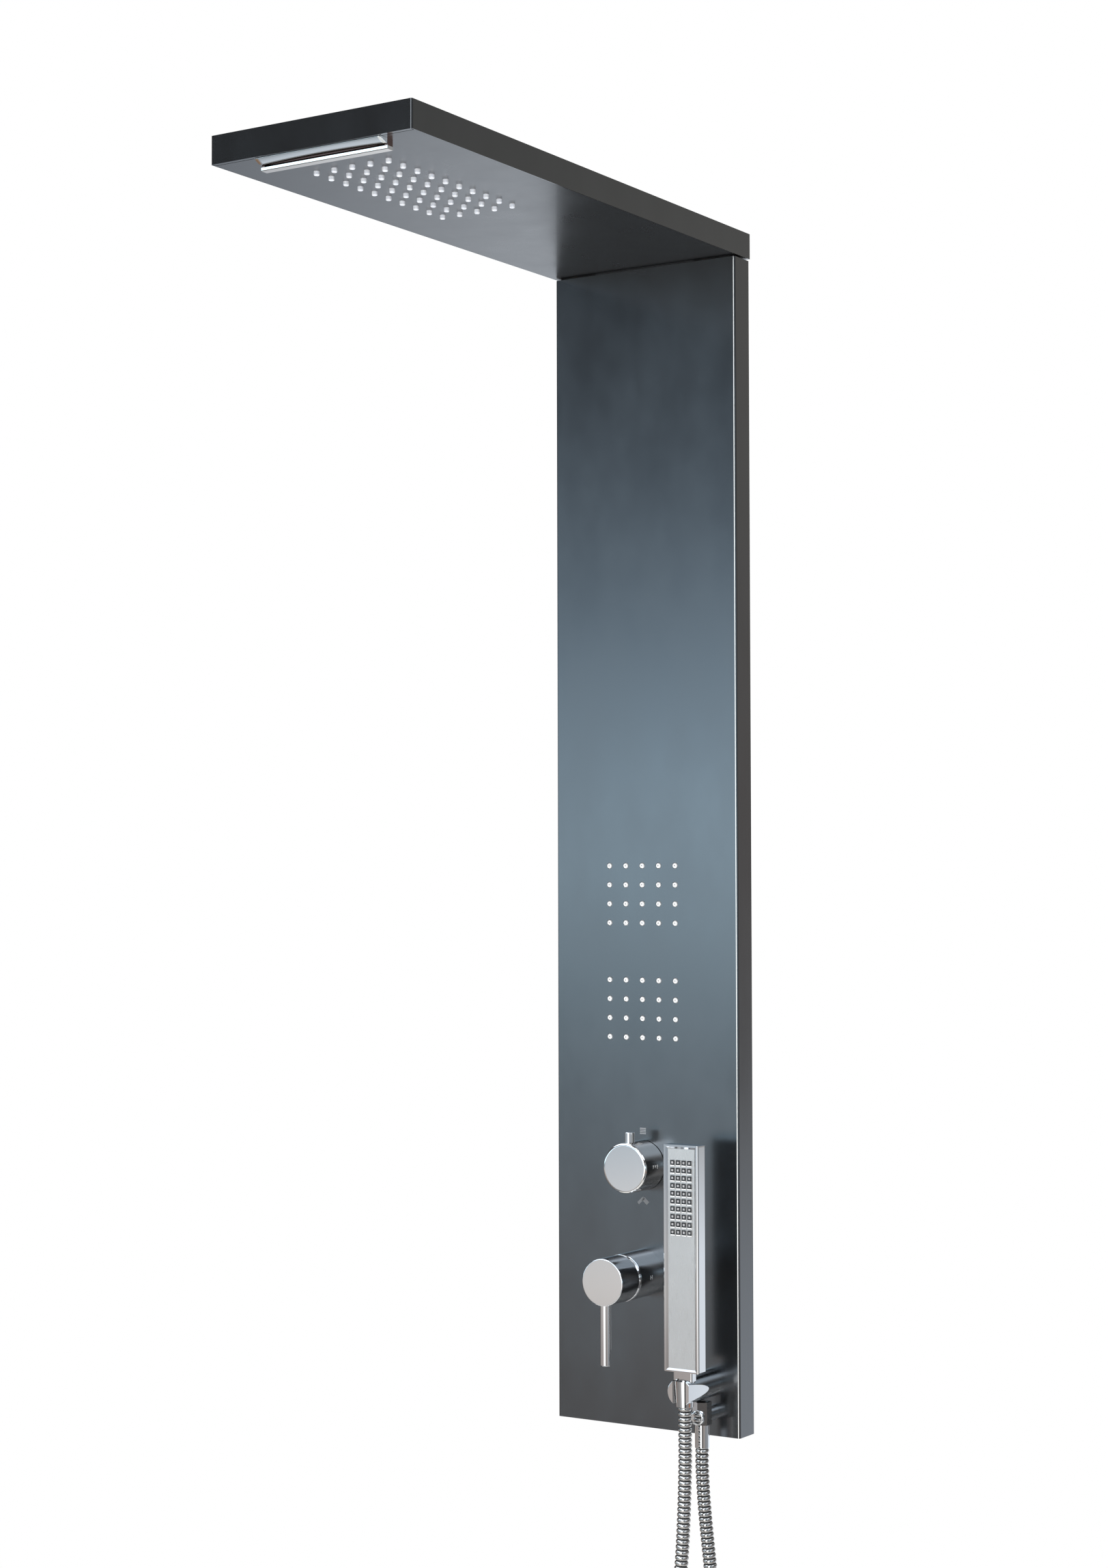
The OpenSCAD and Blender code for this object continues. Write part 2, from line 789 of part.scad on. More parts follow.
module waterfall_chamber() color("dimgray") {
    left = spout_x - fall_chamber_w / 2;
    right = spout_x + fall_chamber_w / 2;
    rear = fall_chamber_front + fall_chamber_depth;
    port_y = (fall_chamber_front + rear) / 2;
    difference() {
        union() {
            block([left, fall_chamber_front, fall_chamber_z], [right, rear, fall_chamber_z + fall_chamber_h]);
            translate([left, port_y, head_pipe_z]) rotate([0, -90, 0]) rod(nipple_d, -chamber_wall, nipple_l);
        }
        block(
            [left + chamber_wall, fall_chamber_front + chamber_wall, fall_chamber_z + spout_neck_h - plate_t],
            [right - chamber_wall, rear - chamber_wall, fall_chamber_z + fall_chamber_h - chamber_wall]
        );
        translate([0, 0, fall_chamber_z]) block(
            [spout_x - spout_neck_w / 2 - fit, spout_y + spout_neck_depth / 2 - fit, -over],
            [spout_x + spout_neck_w / 2 + fit, spout_y + spout_neck_depth * 3 / 2 + fit, spout_neck_h]
        );
        translate([left, port_y, head_pipe_z]) rotate([0, -90, 0])
            rod(nipple_bore, -chamber_wall - over, nipple_l + over);
    }
}

// A field of jets: one soft mat behind the cover with its nozzles
module jet_nozzles(top_z) {
    on_panel(control_x, top_z - jet_field_h / 2) translate([0, 0, -sheet_t - mat_t]) linear_extrude(mat_t)
        rounded_rect(jet_chamber_w, jet_chamber_h, chamber_edge_r);
    jet_places(top_z) translate([0, 0, -sheet_t]) nozzle(jet_d, sheet_t + jet_proud);
}

// A jet chamber: its nipple points down, and the lower one has one upwards too
module jet_chamber(top_z, up) {
    shut = -sheet_t - mat_t - jet_chamber_depth;
    end = jet_chamber_h / 2 + nipple_l;
    on_panel(control_x, top_z - jet_field_h / 2) difference() {
        union() {
            translate([0, 0, shut]) linear_extrude(jet_chamber_depth)
                rounded_rect(jet_chamber_w, jet_chamber_h, chamber_edge_r);
            translate([0, 0, pipe_out]) rotate([90, 0, 0]) rod(pipe_d, -up * end, end);
        }
        translate([0, 0, shut + chamber_wall]) linear_extrude(jet_chamber_depth)
            rounded_rect(jet_chamber_w - 2 * chamber_wall, jet_chamber_h - 2 * chamber_wall,
                chamber_edge_r - chamber_wall);
        translate([0, 0, pipe_out]) rotate([90, 0, 0]) rod(nipple_bore, -up * (end + over), end + over);
    }
}

module upper_jet_nozzles() color("white") jet_nozzles(upper_jet_z);
module lower_jet_nozzles() color("white") jet_nozzles(lower_jet_z);
module upper_jet_chamber() color("dimgray") jet_chamber(upper_jet_z, 0);
module lower_jet_chamber() color("dimgray") jet_chamber(lower_jet_z, 1);

// A wall bracket: a plate on the wall, a shelf and an upturned hook
module wall_bracket(z) {
    difference() {
        translate([0, 0, foot_z + z]) across(bracket_w) {
            patch([-bracket_t, -bracket_below], [0, bracket_shelf]);
            patch([-hook_stand - bracket_t, bracket_shelf - bracket_t], [0, bracket_shelf]);
            patch([-hook_stand - bracket_t, bracket_shelf - bracket_t], [-hook_stand, bracket_shelf + hook_h]);
        }
        for (side = [-1, 1]) translate([side * bracket_hole_pitch / 2, 0, foot_z + z]) rotate([90, 0, 0])
            rod(bracket_hole_d, -over, bracket_t + over);
    }
}

// The rail across the column that hangs over a bracket's hook
module hook_rail(z) {
    top = bracket_shelf + hook_h;
    back = seat_clear - hook_stand;
    front = -hook_stand - bracket_t - seat_clear;
    translate([0, 0, foot_z + z]) across(inner_w) {
        patch([back, top - rail_drop_back], [back + rail_t, top + rail_t]);
        patch([front - rail_t, top], [back + rail_t, top + rail_t]);
        patch([front - rail_t, top - rail_drop_front], [front, top + rail_t]);
    }
}

module upper_hook_rail() color("silver") hook_rail(bracket_z);
module lower_hook_rail() color("silver") hook_rail(lower_bracket_z);
module upper_wall_bracket() color("silver") wall_bracket(bracket_z);
module lower_wall_bracket() color("silver") wall_bracket(lower_bracket_z);

// A round stub from a valve body's axis, at an angle in the panel's plane
module stub(angle, out, d, from, to) {
    rotate(angle) translate([0, 0, out]) rotate([0, 90, 0]) rod(d, from, to);
}

module mixer_valve_body() color("goldenrod") on_panel(control_x, mixer_z) difference() {
    union() {
        rod(valve_d, -valve_back, -sheet_t);
        rod(neck_d, -sheet_t - over, neck_l);
        stub(90, pipe_out, port_d, 0, port_end);
        stub(0, supply_out, supply_port_d, -supply_port_x, supply_port_x);
        for (side = [-1, 1]) translate([side * supply_port_x, 0, 0]) {
            translate([0, 0, supply_out]) sphere(d = supply_port_d);
            stub(-90, supply_out, supply_port_d, 0, supply_port_end);
        }
    }
    rod(cartridge_d + 2 * fit, -cartridge_seat, neck_l + over);
    stub(90, pipe_out, nipple_bore, port_end - port_bore_l, port_end + over);
    for (side = [-1, 1]) translate([side * supply_port_x, 0, 0])
        stub(-90, supply_out, nipple_bore, supply_port_end - port_bore_l, supply_port_end + over);
}

module mixer_panel_nut() color("goldenrod") on_panel(control_x, mixer_z)
    tube(neck_d + 2 * panel_nut_wall, neck_d + 2 * fit, 0, panel_nut_t);

module mixer_cartridge() color("ivory") on_panel(control_x, mixer_z) difference() {
    rod(cartridge_d, -cartridge_seat, cartridge_rim);
    rod(rotor_d, rotor_low - fit, cartridge_rim + over);
    rod(rotor_d - 2 * rotor_step, rotor_low - rotor_step, cartridge_rim);
}

// The guide that turns in the cartridge and carries the stem's pivot
module mixer_rotor() color("slategray") on_panel(control_x, mixer_z) difference() {
    rod(rotor_d - 2 * run_clear, rotor_low, rotor_low + rotor_l);
    block(
        [-rotor_slot_w / 2, -rotor_slot_l / 2, rotor_low - over],
        [rotor_slot_w / 2, rotor_slot_l / 2, rotor_low + rotor_l + over]
    );
    stub(0, pivot_out, pivot_d + 2 * fit, -rotor_d, rotor_d);
}

module mixer_pivot_pin() color("silver") on_panel(control_x, mixer_z)
    stub(0, pivot_out, pivot_d, -pivot_pin_l / 2, pivot_pin_l / 2);

module mixer_stem() color("goldenrod") on_panel(control_x, mixer_z) difference() {
    block([-stem_w / 2, -stem_w / 2, pivot_out - stem_back], [stem_w / 2, stem_w / 2, socket_end]);
    stub(0, pivot_out, pivot_d + 2 * run_clear, -stem_w, stem_w);
}

module mixer_cap_nut() color("goldenrod") on_panel(control_x, mixer_z) difference() {
    rod(cap_nut_d, cap_nut_back, cartridge_rim + cap_nut_lip);
    rod(neck_d + 2 * fit, cap_nut_back - over, cartridge_rim);
    rod(rotor_d + 2 * seat_clear, cartridge_rim - over, cartridge_rim + cap_nut_lip + over);
}

module mixer_sleeve() color("gainsboro") on_panel(control_x, mixer_z)
    tube(sleeve_d, sleeve_d - 2 * sleeve_wall, 0, sleeve_l);

// The dome closes the sleeve and is a ball about the handle's pivot
module mixer_dome() color("gainsboro") on_panel(control_x, mixer_z) {
    difference() {
        intersection() {
            translate([0, 0, pivot_out]) sphere(dome_r);
            rod(sleeve_d - 2 * seat_clear, sleeve_l, pivot_out + dome_r);
        }
        translate([0, 0, pivot_out]) sphere(dome_r - dome_wall);
        rod(2 * dome_mouth, sleeve_l - over, pivot_out + dome_r + over);
    }
    tube(sleeve_d - 2 * sleeve_wall - 2 * fit, cap_nut_d + 2 * fit, sleeve_l - dome_skirt, sleeve_l + dome_wall);
}

module mixer_handle() color("gainsboro") on_panel(control_x, mixer_z) difference() {
    translate([0, 0, handle_back]) rounded_plug(handle_d, handle_l, handle_edge_r);
    rod(handle_d - 2 * handle_wall, handle_back - over, handle_front - handle_web);
    block(
        [-stem_w / 2 - fit, -stem_w / 2 - fit, handle_front - handle_web - over],
        [stem_w / 2 + fit, stem_w / 2 + fit, socket_end]
    );
    stub(-90, handle_front - lever_out, lever_stud_d + 2 * fit, handle_d / 2 - lever_stud_l, handle_d);
    stub(-90, mixer_grub_out, grub_d + 2 * fit, 0, handle_d);
}

// The lever: a pin with a thumb scoop at its tip, screwed up into the handle
module mixer_lever() color("gainsboro")
    on_panel(control_x, mixer_z) translate([0, 0, handle_front - lever_out]) rotate([90, 0, 0]) {
        root = handle_d / 2;
        difference() {
            translate([0, 0, root - lever_d / 4]) rounded_plug(lever_d, lever_l + lever_d / 4, lever_edge_r);
            rotate([90, 0, 0]) cylinder(r = root + fit, h = 2 * lever_d, center = true);
            rotate(-45) translate([lever_d / 2 - scoop_cut + scoop_r, 0, root + lever_l - scoop_middle])
                rotate([90, 0, 0]) cylinder(r = scoop_r, h = 2 * lever_d, center = true);
        }
        rod(lever_stud_d, root - lever_stud_l, root + lever_edge_r);
    }

module mixer_grub_screw() color("dimgray") on_panel(control_x, mixer_z)
    stub(-90, mixer_grub_out, grub_d, stem_w / 2, stem_w / 2 + grub_l);

// Places of the two supply hoses, at a height above the foot
module supply_places(z) {
    for (side = [-1, 1]) translate([control_x + side * supply_port_x, -supply_back, foot_z + z]) children();
}

module supply_hoses() color("gray") supply_places(union_top) difference() {
    union() {
        rod(supply_hose_d, -union_web, supply_hose_l);
        rod(union_flange_d, -union_web - union_flange_t, -union_web);
        rod(supply_ferrule_d, seat_clear, supply_ferrule_l);
        rod(supply_ferrule_d, supply_hose_l - supply_ferrule_l, supply_hose_l);
    }
    rod(nipple_bore, -union_web - union_flange_t - over, supply_hose_l + over);
}

module supply_nuts() color("goldenrod") supply_places(union_top) difference() {
    hex_rod(union_af, -union_web - union_depth, 0);
    rod(supply_hose_d + 2 * fit, -union_web - over, over);
    rod(union_flange_d + 2 * fit, -union_web - union_flange_t - over, -union_web);
    rod(union_bore, -union_web - union_depth - over, -union_web - union_flange_t - union_run_out);
}

function valve_port(angle) = [
    control_x + port_end * cos(angle), pipe_y, foot_z + diverter_z + port_end * sin(angle)
];

module link_pipe() color("goldenrod")
    pipe([[control_x, pipe_y, foot_z + mixer_z + port_end], valve_port(-90)]);

module diverter_body() color("goldenrod") on_panel(control_x, diverter_z) difference() {
    union() {
        rod(diverter_body_d, -valve_back, -sheet_t);
        rod(diverter_neck_d, -sheet_t - over, diverter_neck_l);
        for (angle = port_angles) stub(angle, pipe_out, port_d, port_root, port_end);
    }
    rod(diverter_cartridge_d + 2 * fit, -diverter_seat, diverter_neck_l + over);
    for (angle = port_angles) stub(angle, pipe_out, nipple_bore, port_end - port_bore_l, port_end + over);
}

module diverter_panel_nut() color("goldenrod") on_panel(control_x, diverter_z)
    tube(diverter_neck_d + 2 * diverter_nut_wall, diverter_neck_d + 2 * fit, 0, diverter_nut_t);

module diverter_cartridge() color("ivory") on_panel(control_x, diverter_z) difference() {
    rod(diverter_cartridge_d, -diverter_seat, diverter_rim);
    rod(spindle_d, spindle_back, diverter_rim + over);
}

module diverter_stem() color("goldenrod") on_panel(control_x, diverter_z) {
    rod(spindle_d - 2 * run_clear, spindle_back + fit, diverter_rim + fit);
    rod(spindle_neck_d, diverter_rim, spindle_end);
}

module diverter_knob() color("gainsboro") on_panel(control_x, diverter_z) difference() {
    union() {
        difference() {
            translate([0, 0, knob_back]) rounded_plug(knob_d, knob_l - knob_back, knob_edge_r);
            rod(knob_d - 2 * knob_wall, knob_back - over, knob_l - knob_web);
        }
        rod(hub_d, knob_l - knob_web - hub_l, knob_l - knob_web + over);
    }
    rod(spindle_neck_d + 2 * fit, knob_back, spindle_end);
    stub(90, knob_l - knob_pin_in, knob_stud_d + 2 * fit, hub_d / 2 + over, knob_d);
    stub(-90, knob_grub_out, grub_d + 2 * fit, 0, knob_d);
}

module diverter_pin() color("gainsboro")
    on_panel(control_x, diverter_z) translate([0, 0, knob_l - knob_pin_in]) rotate([-90, 0, 0]) {
        root = knob_d / 2;
        difference() {
            translate([0, 0, root - knob_pin_d / 4])
                rounded_plug(knob_pin_d, knob_pin_l + knob_pin_d / 4, lever_edge_r);
            rotate([90, 0, 0]) cylinder(r = root + fit, h = 2 * knob_pin_d, center = true);
        }
        rod(knob_stud_d, root - knob_wall, root + lever_edge_r);
    }

module diverter_grub_screw() color("dimgray") on_panel(control_x, diverter_z)
    stub(-90, knob_grub_out, grub_d, spindle_neck_d / 2, spindle_neck_d / 2 + grub_l);

module jet_feed_pipe() color("whitesmoke") pipe([
    valve_port(90),
    [control_x, pipe_y, foot_z + lower_jet_z - jet_field_h / 2 - jet_chamber_h / 2 - nipple_l]
]);

module jet_link_pipe() color("whitesmoke") pipe([
    [control_x, pipe_y, foot_z + lower_jet_z - jet_field_h / 2 + jet_chamber_h / 2 + nipple_l],
    [control_x, pipe_y, foot_z + upper_jet_z - jet_field_h / 2 - jet_chamber_h / 2 - nipple_l]
]);

// A riser leaves its side port on a slant, then goes straight up
module riser(angle, x) {
    from = valve_port(angle);
    pipe([from, [x, pipe_y, from[2] + abs(x - from[0]) * port_rise / port_run], [x, pipe_y, head_pipe_z - elbow_leg]]);
}

module rain_riser() color("whitesmoke") riser(side_port, right_riser_x);
module waterfall_riser() color("whitesmoke") riser(180 - side_port, left_riser_x);

module riser_elbows() color("goldenrod") for (x = [left_riser_x, right_riser_x]) {
    corner = [x, pipe_y, head_pipe_z];
    pipe([corner - [0, 0, elbow_leg], corner, corner - [0, elbow_leg, 0]]);
}

module rain_head_pipe() color("whitesmoke") {
    port_y = rain_front_y + rain_field_l;
    pipe([
        [right_riser_x, pipe_y - elbow_leg, head_pipe_z],
        [right_riser_x, port_y, head_pipe_z],
        [rain_x + rain_chamber_w / 2 + nipple_l, port_y, head_pipe_z]
    ]);
}

module waterfall_head_pipe() color("whitesmoke") {
    port_y = fall_chamber_front + fall_chamber_depth / 2;
    pipe([
        [left_riser_x, pipe_y - elbow_leg, head_pipe_z],
        [left_riser_x, port_y, head_pipe_z],
        [spout_x - fall_chamber_w / 2 - nipple_l, port_y, head_pipe_z]
    ]);
}

module handset_feed_pipe() color("whitesmoke") {
    from = valve_port(-side_port);
    pipe([
        from,
        [feed_x, pipe_y, from[2] - (feed_x - from[0]) * port_rise / port_run],
        [feed_x, pipe_y, foot_z + outlet_z],
        [outlet_x - outlet_stub_l, pipe_y, foot_z + outlet_z]
    ]);
}

// The outlet: a neck through the panel, a hexagonal drop piece and a round cap
module outlet_elbow() color("gainsboro") on_panel(outlet_x, outlet_z) difference() {
    union() {
        rod(outlet_neck_d, -outlet_tail, outlet_out);
        translate([0, 0, outlet_out]) rotate([90, 0, 0]) hex_rod(outlet_af, -outlet_above, outlet_below);
        translate([0, 0, outlet_out + outlet_af / 2 - over])
            rounded_plug(outlet_cap_d, over + outlet_cap_l, outlet_cap_r);
    }
    rod(nipple_bore, chamber_wall - outlet_tail, outlet_out);
    stub(180, pipe_out, nipple_bore, 0, banjo_d);
    translate([0, 0, outlet_out]) rotate([90, 0, 0]) rod(nipple_bore, 0, outlet_below + over);
}

// The ring behind the sheet that brings the water to the outlet's neck
module outlet_banjo() color("goldenrod") on_panel(outlet_x, outlet_z) difference() {
    union() {
        rod(banjo_d, -banjo_back, -sheet_t);
        stub(180, pipe_out, pipe_d, 0, outlet_stub_l);
    }
    rod(outlet_neck_d + 2 * fit, -banjo_back - over, over);
    stub(180, pipe_out, nipple_bore, 0, outlet_stub_l + over);
}

module outlet_lock_nut() color("silver") on_panel(outlet_x, outlet_z) difference() {
    hex_rod(outlet_nut_af, -banjo_back - outlet_nut_t, -banjo_back);
    rod(outlet_neck_d + 2 * fit, -outlet_tail, 0);
}

module hose_ferrule() color("gainsboro") translate([outlet_x, -outlet_stand, foot_z + outlet_z - outlet_below])
    difference() {
        mirror([0, 0, 1]) rounded_plug(ferrule_d, ferrule_l, lever_edge_r);
        rod(hose_bore, -ferrule_l - over, over);
    }

// A smooth curve through the route's points, a few steps from point to point
function spline_point(p, q, r, s, t) =
    0.5 * (2 * q + (r - p) * t + (2 * p - 5 * q + 4 * r - s) * t * t + (3 * q - p - 3 * r + s) * t * t * t);
route_last = len(hose_route) - 1;
route_ends = concat(
    [2 * hose_route[0] - hose_route[1]], hose_route, [2 * hose_route[route_last] - hose_route[route_last - 1]]
);
hose_line = concat(
    [for (i = [0:route_last - 1], k = [0:hose_steps - 1])
        spline_point(route_ends[i], route_ends[i + 1], route_ends[i + 2], route_ends[i + 3], k / hose_steps)],
    [hose_route[route_last]]
);

// The length along the curve at each of its points
function lengths_along(points, i = 1, sum = 0, found = [0]) =
    i == len(points) ? found
    : let (next = sum + norm(points[i] - points[i - 1])) lengths_along(points, i + 1, next, concat(found, [next]));
hose_lengths = lengths_along(hose_line);
hose_l = hose_lengths[len(hose_lengths) - 1];
hose_tables = [for (axis = [0:2]) [for (i = [0:len(hose_line) - 1]) [hose_lengths[i], hose_line[i][axis]]]];
function hose_at(length) = [for (axis = [0:2]) lookup(length, hose_tables[axis])];
function hose_way(length) = unit(hose_at(min(length + over, hose_l)) - hose_at(max(length - over, 0)));

// One ring of points round the curve
function hose_ring(length, r) =
    let (
        middle = hose_at(length) + [0, 0, foot_z],
        way = hose_way(length),
        side = unit(hose_normal - way * (hose_normal * way)),
        up = cross(way, side)
    )
    [for (k = [0:hose_sides - 1]) middle
        + side * r * cos(360 * k / hose_sides) + up * r * sin(360 * k / hose_sides)];

// Triangles between two rings that start at points a and b
function ring_faces(a, b) = [
    for (k = [0:hose_sides - 1]) let (n = (k + 1) % hose_sides)
        for (face = [[a + k, b + k, b + n], [a + k, b + n, a + n]]) face
];

rib_pitch = hose_l / rib_count;
hose_outer = [for (i = [0:2 * rib_count])
    hose_ring(i * rib_pitch / 2, hose_d / 2 - (i % 2 == 0 ? rib_depth : 0))];
hose_inner = [for (i = [2 * rib_count:-hose_bore_every:0]) hose_ring(i * rib_pitch / 2, hose_bore / 2)];
hose_rings = concat(hose_outer, hose_inner);

// The hose: an unbroken ribbed tube with its bore
module shower_hose() color("silver") {
    count = len(hose_rings);
    polyhedron(
        points = [for (ring = hose_rings, point = ring) point],
        faces = [for (i = [0:count - 1], face = ring_faces(i * hose_sides, ((i + 1) % count) * hose_sides)) face],
        convexity = 10
    );
}

hose_samples = [for (i = [0:hose_gap_step:2 * rib_count]) hose_at(i * rib_pitch / 2)];
hose_gap = min([for (i = [0:len(hose_samples) - 1], j = [i + hose_gap_skip:len(hose_samples) - 1])
    norm(hose_samples[i] - hose_samples[j])]) - hose_d;
echo(hose_length = hose_l, rib_pitch = rib_pitch, least_gap = hose_gap);

// Radius of the cone nut at a height above the foot
function cone_r(z) = cone_bottom_r + (z - cone_top + cone_l) * (cone_top_r - cone_bottom_r) / cone_l;

module hose_cone_nut() color("gainsboro") translate([handset_x, -handset_stand, foot_z]) difference() {
    cone(cone_bottom_r, cone_top_r, cone_top - cone_l, cone_top);
    rod(spigot_d + 2 * fit, cone_top - spigot_l, cone_top + over);
    rod(hose_bore, cone_top - cone_l - over, cone_top);
}

module handset_neck() color("gainsboro") translate([handset_x, -handset_stand, foot_z]) difference() {
    union() {
        translate([0, 0, cone_top]) linear_extrude(neck_h) rounded_rect(neck_w, neck_depth, handset_edge_r);
        rod(spigot_d, cone_top - spigot_l, cone_top + over);
    }
    rod(hose_bore, cone_top - spigot_l - over, handset_foot + over);
}

// The handset's own frame: x across, +Y to the wall, z up from its lower end
module on_handset() {
    translate([handset_x, -handset_stand, handset_z]) children();
}

// Half of the frame's opening, where it has widened past the front plane
function flare(size) = size / 2 + bezel_bevel * (face_inset + over) / face_inset;

module handset_shell() color("gainsboro") on_handset() difference() {
    intersection() {
        linear_extrude(handset_l) rounded_rect(handset_w, handset_t, handset_edge_r);
        translate([0, 0, handset_l / 2]) rotate([90, 0, 0]) linear_extrude(2 * handset_t, center = true)
            rounded_rect(handset_w, handset_l, handset_edge_r);
    }
    intersection() {
        linear_extrude(handset_l) polygon([
            [-flare(face_w), handset_front - over], [flare(face_w), handset_front - over],
            [face_w / 2, handset_front + face_inset], [-face_w / 2, handset_front + face_inset]
        ]);
        across(handset_w) polygon([
            [handset_front - over, face_z - flare(face_l)], [handset_front - over, face_z + flare(face_l)],
            [handset_front + face_inset, face_z + face_l / 2], [handset_front + face_inset, face_z - face_l / 2]
        ]);
    }
    block(
        [-face_w / 2, handset_front, face_z - face_l / 2],
        [face_w / 2, handset_front + face_inset + face_t, face_z + face_l / 2]
    );
    block(
        [face_ledge - face_w / 2, handset_front, face_z - face_l / 2 + face_ledge],
        [face_w / 2 - face_ledge, handset_t / 2 - handset_wall, face_z + face_l / 2 - face_ledge]
    );
    rod(hose_bore, -over, handset_wall + bezel_bottom + face_ledge);
}

module spray_places() {
    for (row = [0:spray_rows - 1], column = [0:spray_columns - 1]) translate([
        (column - (spray_columns - 1) / 2) * spray_pitch_x,
        handset_front + face_inset,
        handset_l - spray_top - row * spray_pitch_z
    ]) children();
}

module handset_face() color("lightgray") on_handset() difference() {
    block(
        [fit - face_w / 2, handset_front + face_inset, face_z - face_l / 2 + fit],
        [face_w / 2 - fit, handset_front + face_inset + face_t, face_z + face_l / 2 - fit]
    );
    spray_places() block(
        [-spray_side / 2 - fit, -over, -spray_side / 2 - fit],
        [spray_side / 2 + fit, face_t + over, spray_side / 2 + fit]
    );
}

module handset_nozzles() color("gray") on_handset() difference() {
    union() {
        translate([0, handset_front + face_inset + face_t + spray_mat_t / 2, spray_middle])
            cube([spray_mat_w, spray_mat_t, spray_mat_l], center = true);
        spray_places() block(
            [-spray_side / 2, -spray_proud, -spray_side / 2],
            [spray_side / 2, face_t + spray_mat_t / 2, spray_side / 2]
        );
    }
    spray_places() rotate([-90, 0, 0]) rod(spray_bore, -spray_proud - over, spray_mat_t);
}

// The holder: a round arm with a slotted conical seat and one flat side
module holder_arm() color("gainsboro") on_panel(handset_x, holder_z) difference() {
    low = -arm_d / 2 - over;
    high = arm_d / 2 + over;
    rounded_plug(arm_d, arm_l, arm_edge_r);
    translate([0, 0, arm_seat]) rotate([-90, 0, 0])
        cone(cone_r(holder_z + low) + seat_clear, cone_r(holder_z + high) + seat_clear, low, high);
    block([-slot_w / 2, low, arm_seat], [slot_w / 2, high, arm_l + over]);
    translate([arm_flat_x, 0, arm_l]) rotate([0, -atan((arm_d / 2 - arm_flat_x) / arm_flat_l), 0])
        block([0, low, -arm_seat], [arm_d, high, arm_d]);
    rod(holder_screw_d, -over, holder_screw_l);
}

module holder_screw() color("silver") on_panel(handset_x, holder_z) {
    rod(holder_screw_d - 2 * fit, -sheet_t - over, holder_screw_l - fit);
    rod(holder_head_d, -sheet_t - holder_head_t, -sheet_t);
}

column_cover();
head_cover();
head_underplate();
head_bracket();
bracket_nuts();
seam_gaskets();
rain_nozzles();
rain_chamber();
waterfall_spout();
waterfall_chamber();
upper_jet_nozzles();
upper_jet_chamber();
lower_jet_nozzles();
lower_jet_chamber();
upper_hook_rail();
lower_hook_rail();
upper_wall_bracket();
lower_wall_bracket();
mixer_valve_body();
mixer_panel_nut();
mixer_cartridge();
mixer_rotor();
mixer_pivot_pin();
mixer_stem();
mixer_cap_nut();
mixer_sleeve();
mixer_dome();
mixer_handle();
mixer_lever();
mixer_grub_screw();
supply_hoses();
supply_nuts();
link_pipe();
diverter_body();
diverter_panel_nut();
diverter_cartridge();
diverter_stem();
diverter_knob();
diverter_pin();
diverter_grub_screw();
jet_feed_pipe();
jet_link_pipe();
rain_riser();
waterfall_riser();
riser_elbows();
rain_head_pipe();
waterfall_head_pipe();
handset_feed_pipe();
outlet_elbow();
outlet_banjo();
outlet_lock_nut();
hose_ferrule();
shower_hose();
hose_cone_nut();
handset_shell();
handset_face();
handset_nozzles();
handset_neck();
holder_arm();
holder_screw();
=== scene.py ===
"""Finish for a shower panel column: surfaces, the ribbed hose, the printed marks and the studio."""

import math

import bmesh
import bpy
from bpy.props import FloatProperty, FloatVectorProperty, IntProperty, PointerProperty
from bpy.types import Operator, Panel, PropertyGroup
from mathutils import Matrix, Vector


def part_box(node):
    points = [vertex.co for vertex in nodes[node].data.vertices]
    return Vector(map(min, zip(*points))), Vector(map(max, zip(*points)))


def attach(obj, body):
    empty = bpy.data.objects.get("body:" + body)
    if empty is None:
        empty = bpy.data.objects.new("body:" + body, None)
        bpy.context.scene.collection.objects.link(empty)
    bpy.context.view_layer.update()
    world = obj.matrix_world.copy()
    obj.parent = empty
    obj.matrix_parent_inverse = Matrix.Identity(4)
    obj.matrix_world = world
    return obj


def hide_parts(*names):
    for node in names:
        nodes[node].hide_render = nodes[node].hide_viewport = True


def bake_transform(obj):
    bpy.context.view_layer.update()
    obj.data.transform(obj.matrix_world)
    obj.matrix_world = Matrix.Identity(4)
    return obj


bl_info = {
    "name": "Shower Panel Column",
    "version": (1, 0, 0),
    "blender": (4, 5, 0),
    "location": "View3D > Sidebar > Shower Panel",
    "description": "Dresses a wall-hung shower panel column with its finishes, hose and marks",
    "category": "Object",
}

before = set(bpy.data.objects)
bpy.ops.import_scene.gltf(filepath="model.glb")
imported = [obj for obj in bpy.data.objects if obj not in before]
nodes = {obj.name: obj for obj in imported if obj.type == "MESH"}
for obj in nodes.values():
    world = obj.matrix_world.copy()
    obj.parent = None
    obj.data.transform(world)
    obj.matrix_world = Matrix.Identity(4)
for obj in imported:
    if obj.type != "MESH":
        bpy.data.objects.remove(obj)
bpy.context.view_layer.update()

MM = 0.001
COLUMN_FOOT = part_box("column_cover")[0].z
COLUMN_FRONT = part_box("column_cover")[0].y
SLEEVE_LOW, SLEEVE_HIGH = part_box("mixer_sleeve")

# The camera: its place in metres from the column's foot on the wall, its yaw, pitch and roll in degrees, and
# its focal length and picture height in pixels
CAMERA_PLACE = (1.4626, -2.4756, 0.5832)
CAMERA_TURNS = (-32.805, 1.766, -0.142)
FOCAL_PIXELS, PICTURE_PIXELS = 3973.3, 2296
FILM_HEIGHT = 36.0

# Lamps: name, place, the point that it faces, its side in metres and its share of the lamp power
LAMPS = (
    ("front_lamp", (-1.5, -2.6, 0.9), (0, -0.2, -0.6), 1.6, 1.0),
    ("right_lamp", (2.4, -1.2, 0.2), (0, -0.1, -0.6), 1.4, 0.5),
    ("low_lamp", (0.3, -1.8, -1.9), (0, -0.3, 0.0), 1.2, 1.6),
)

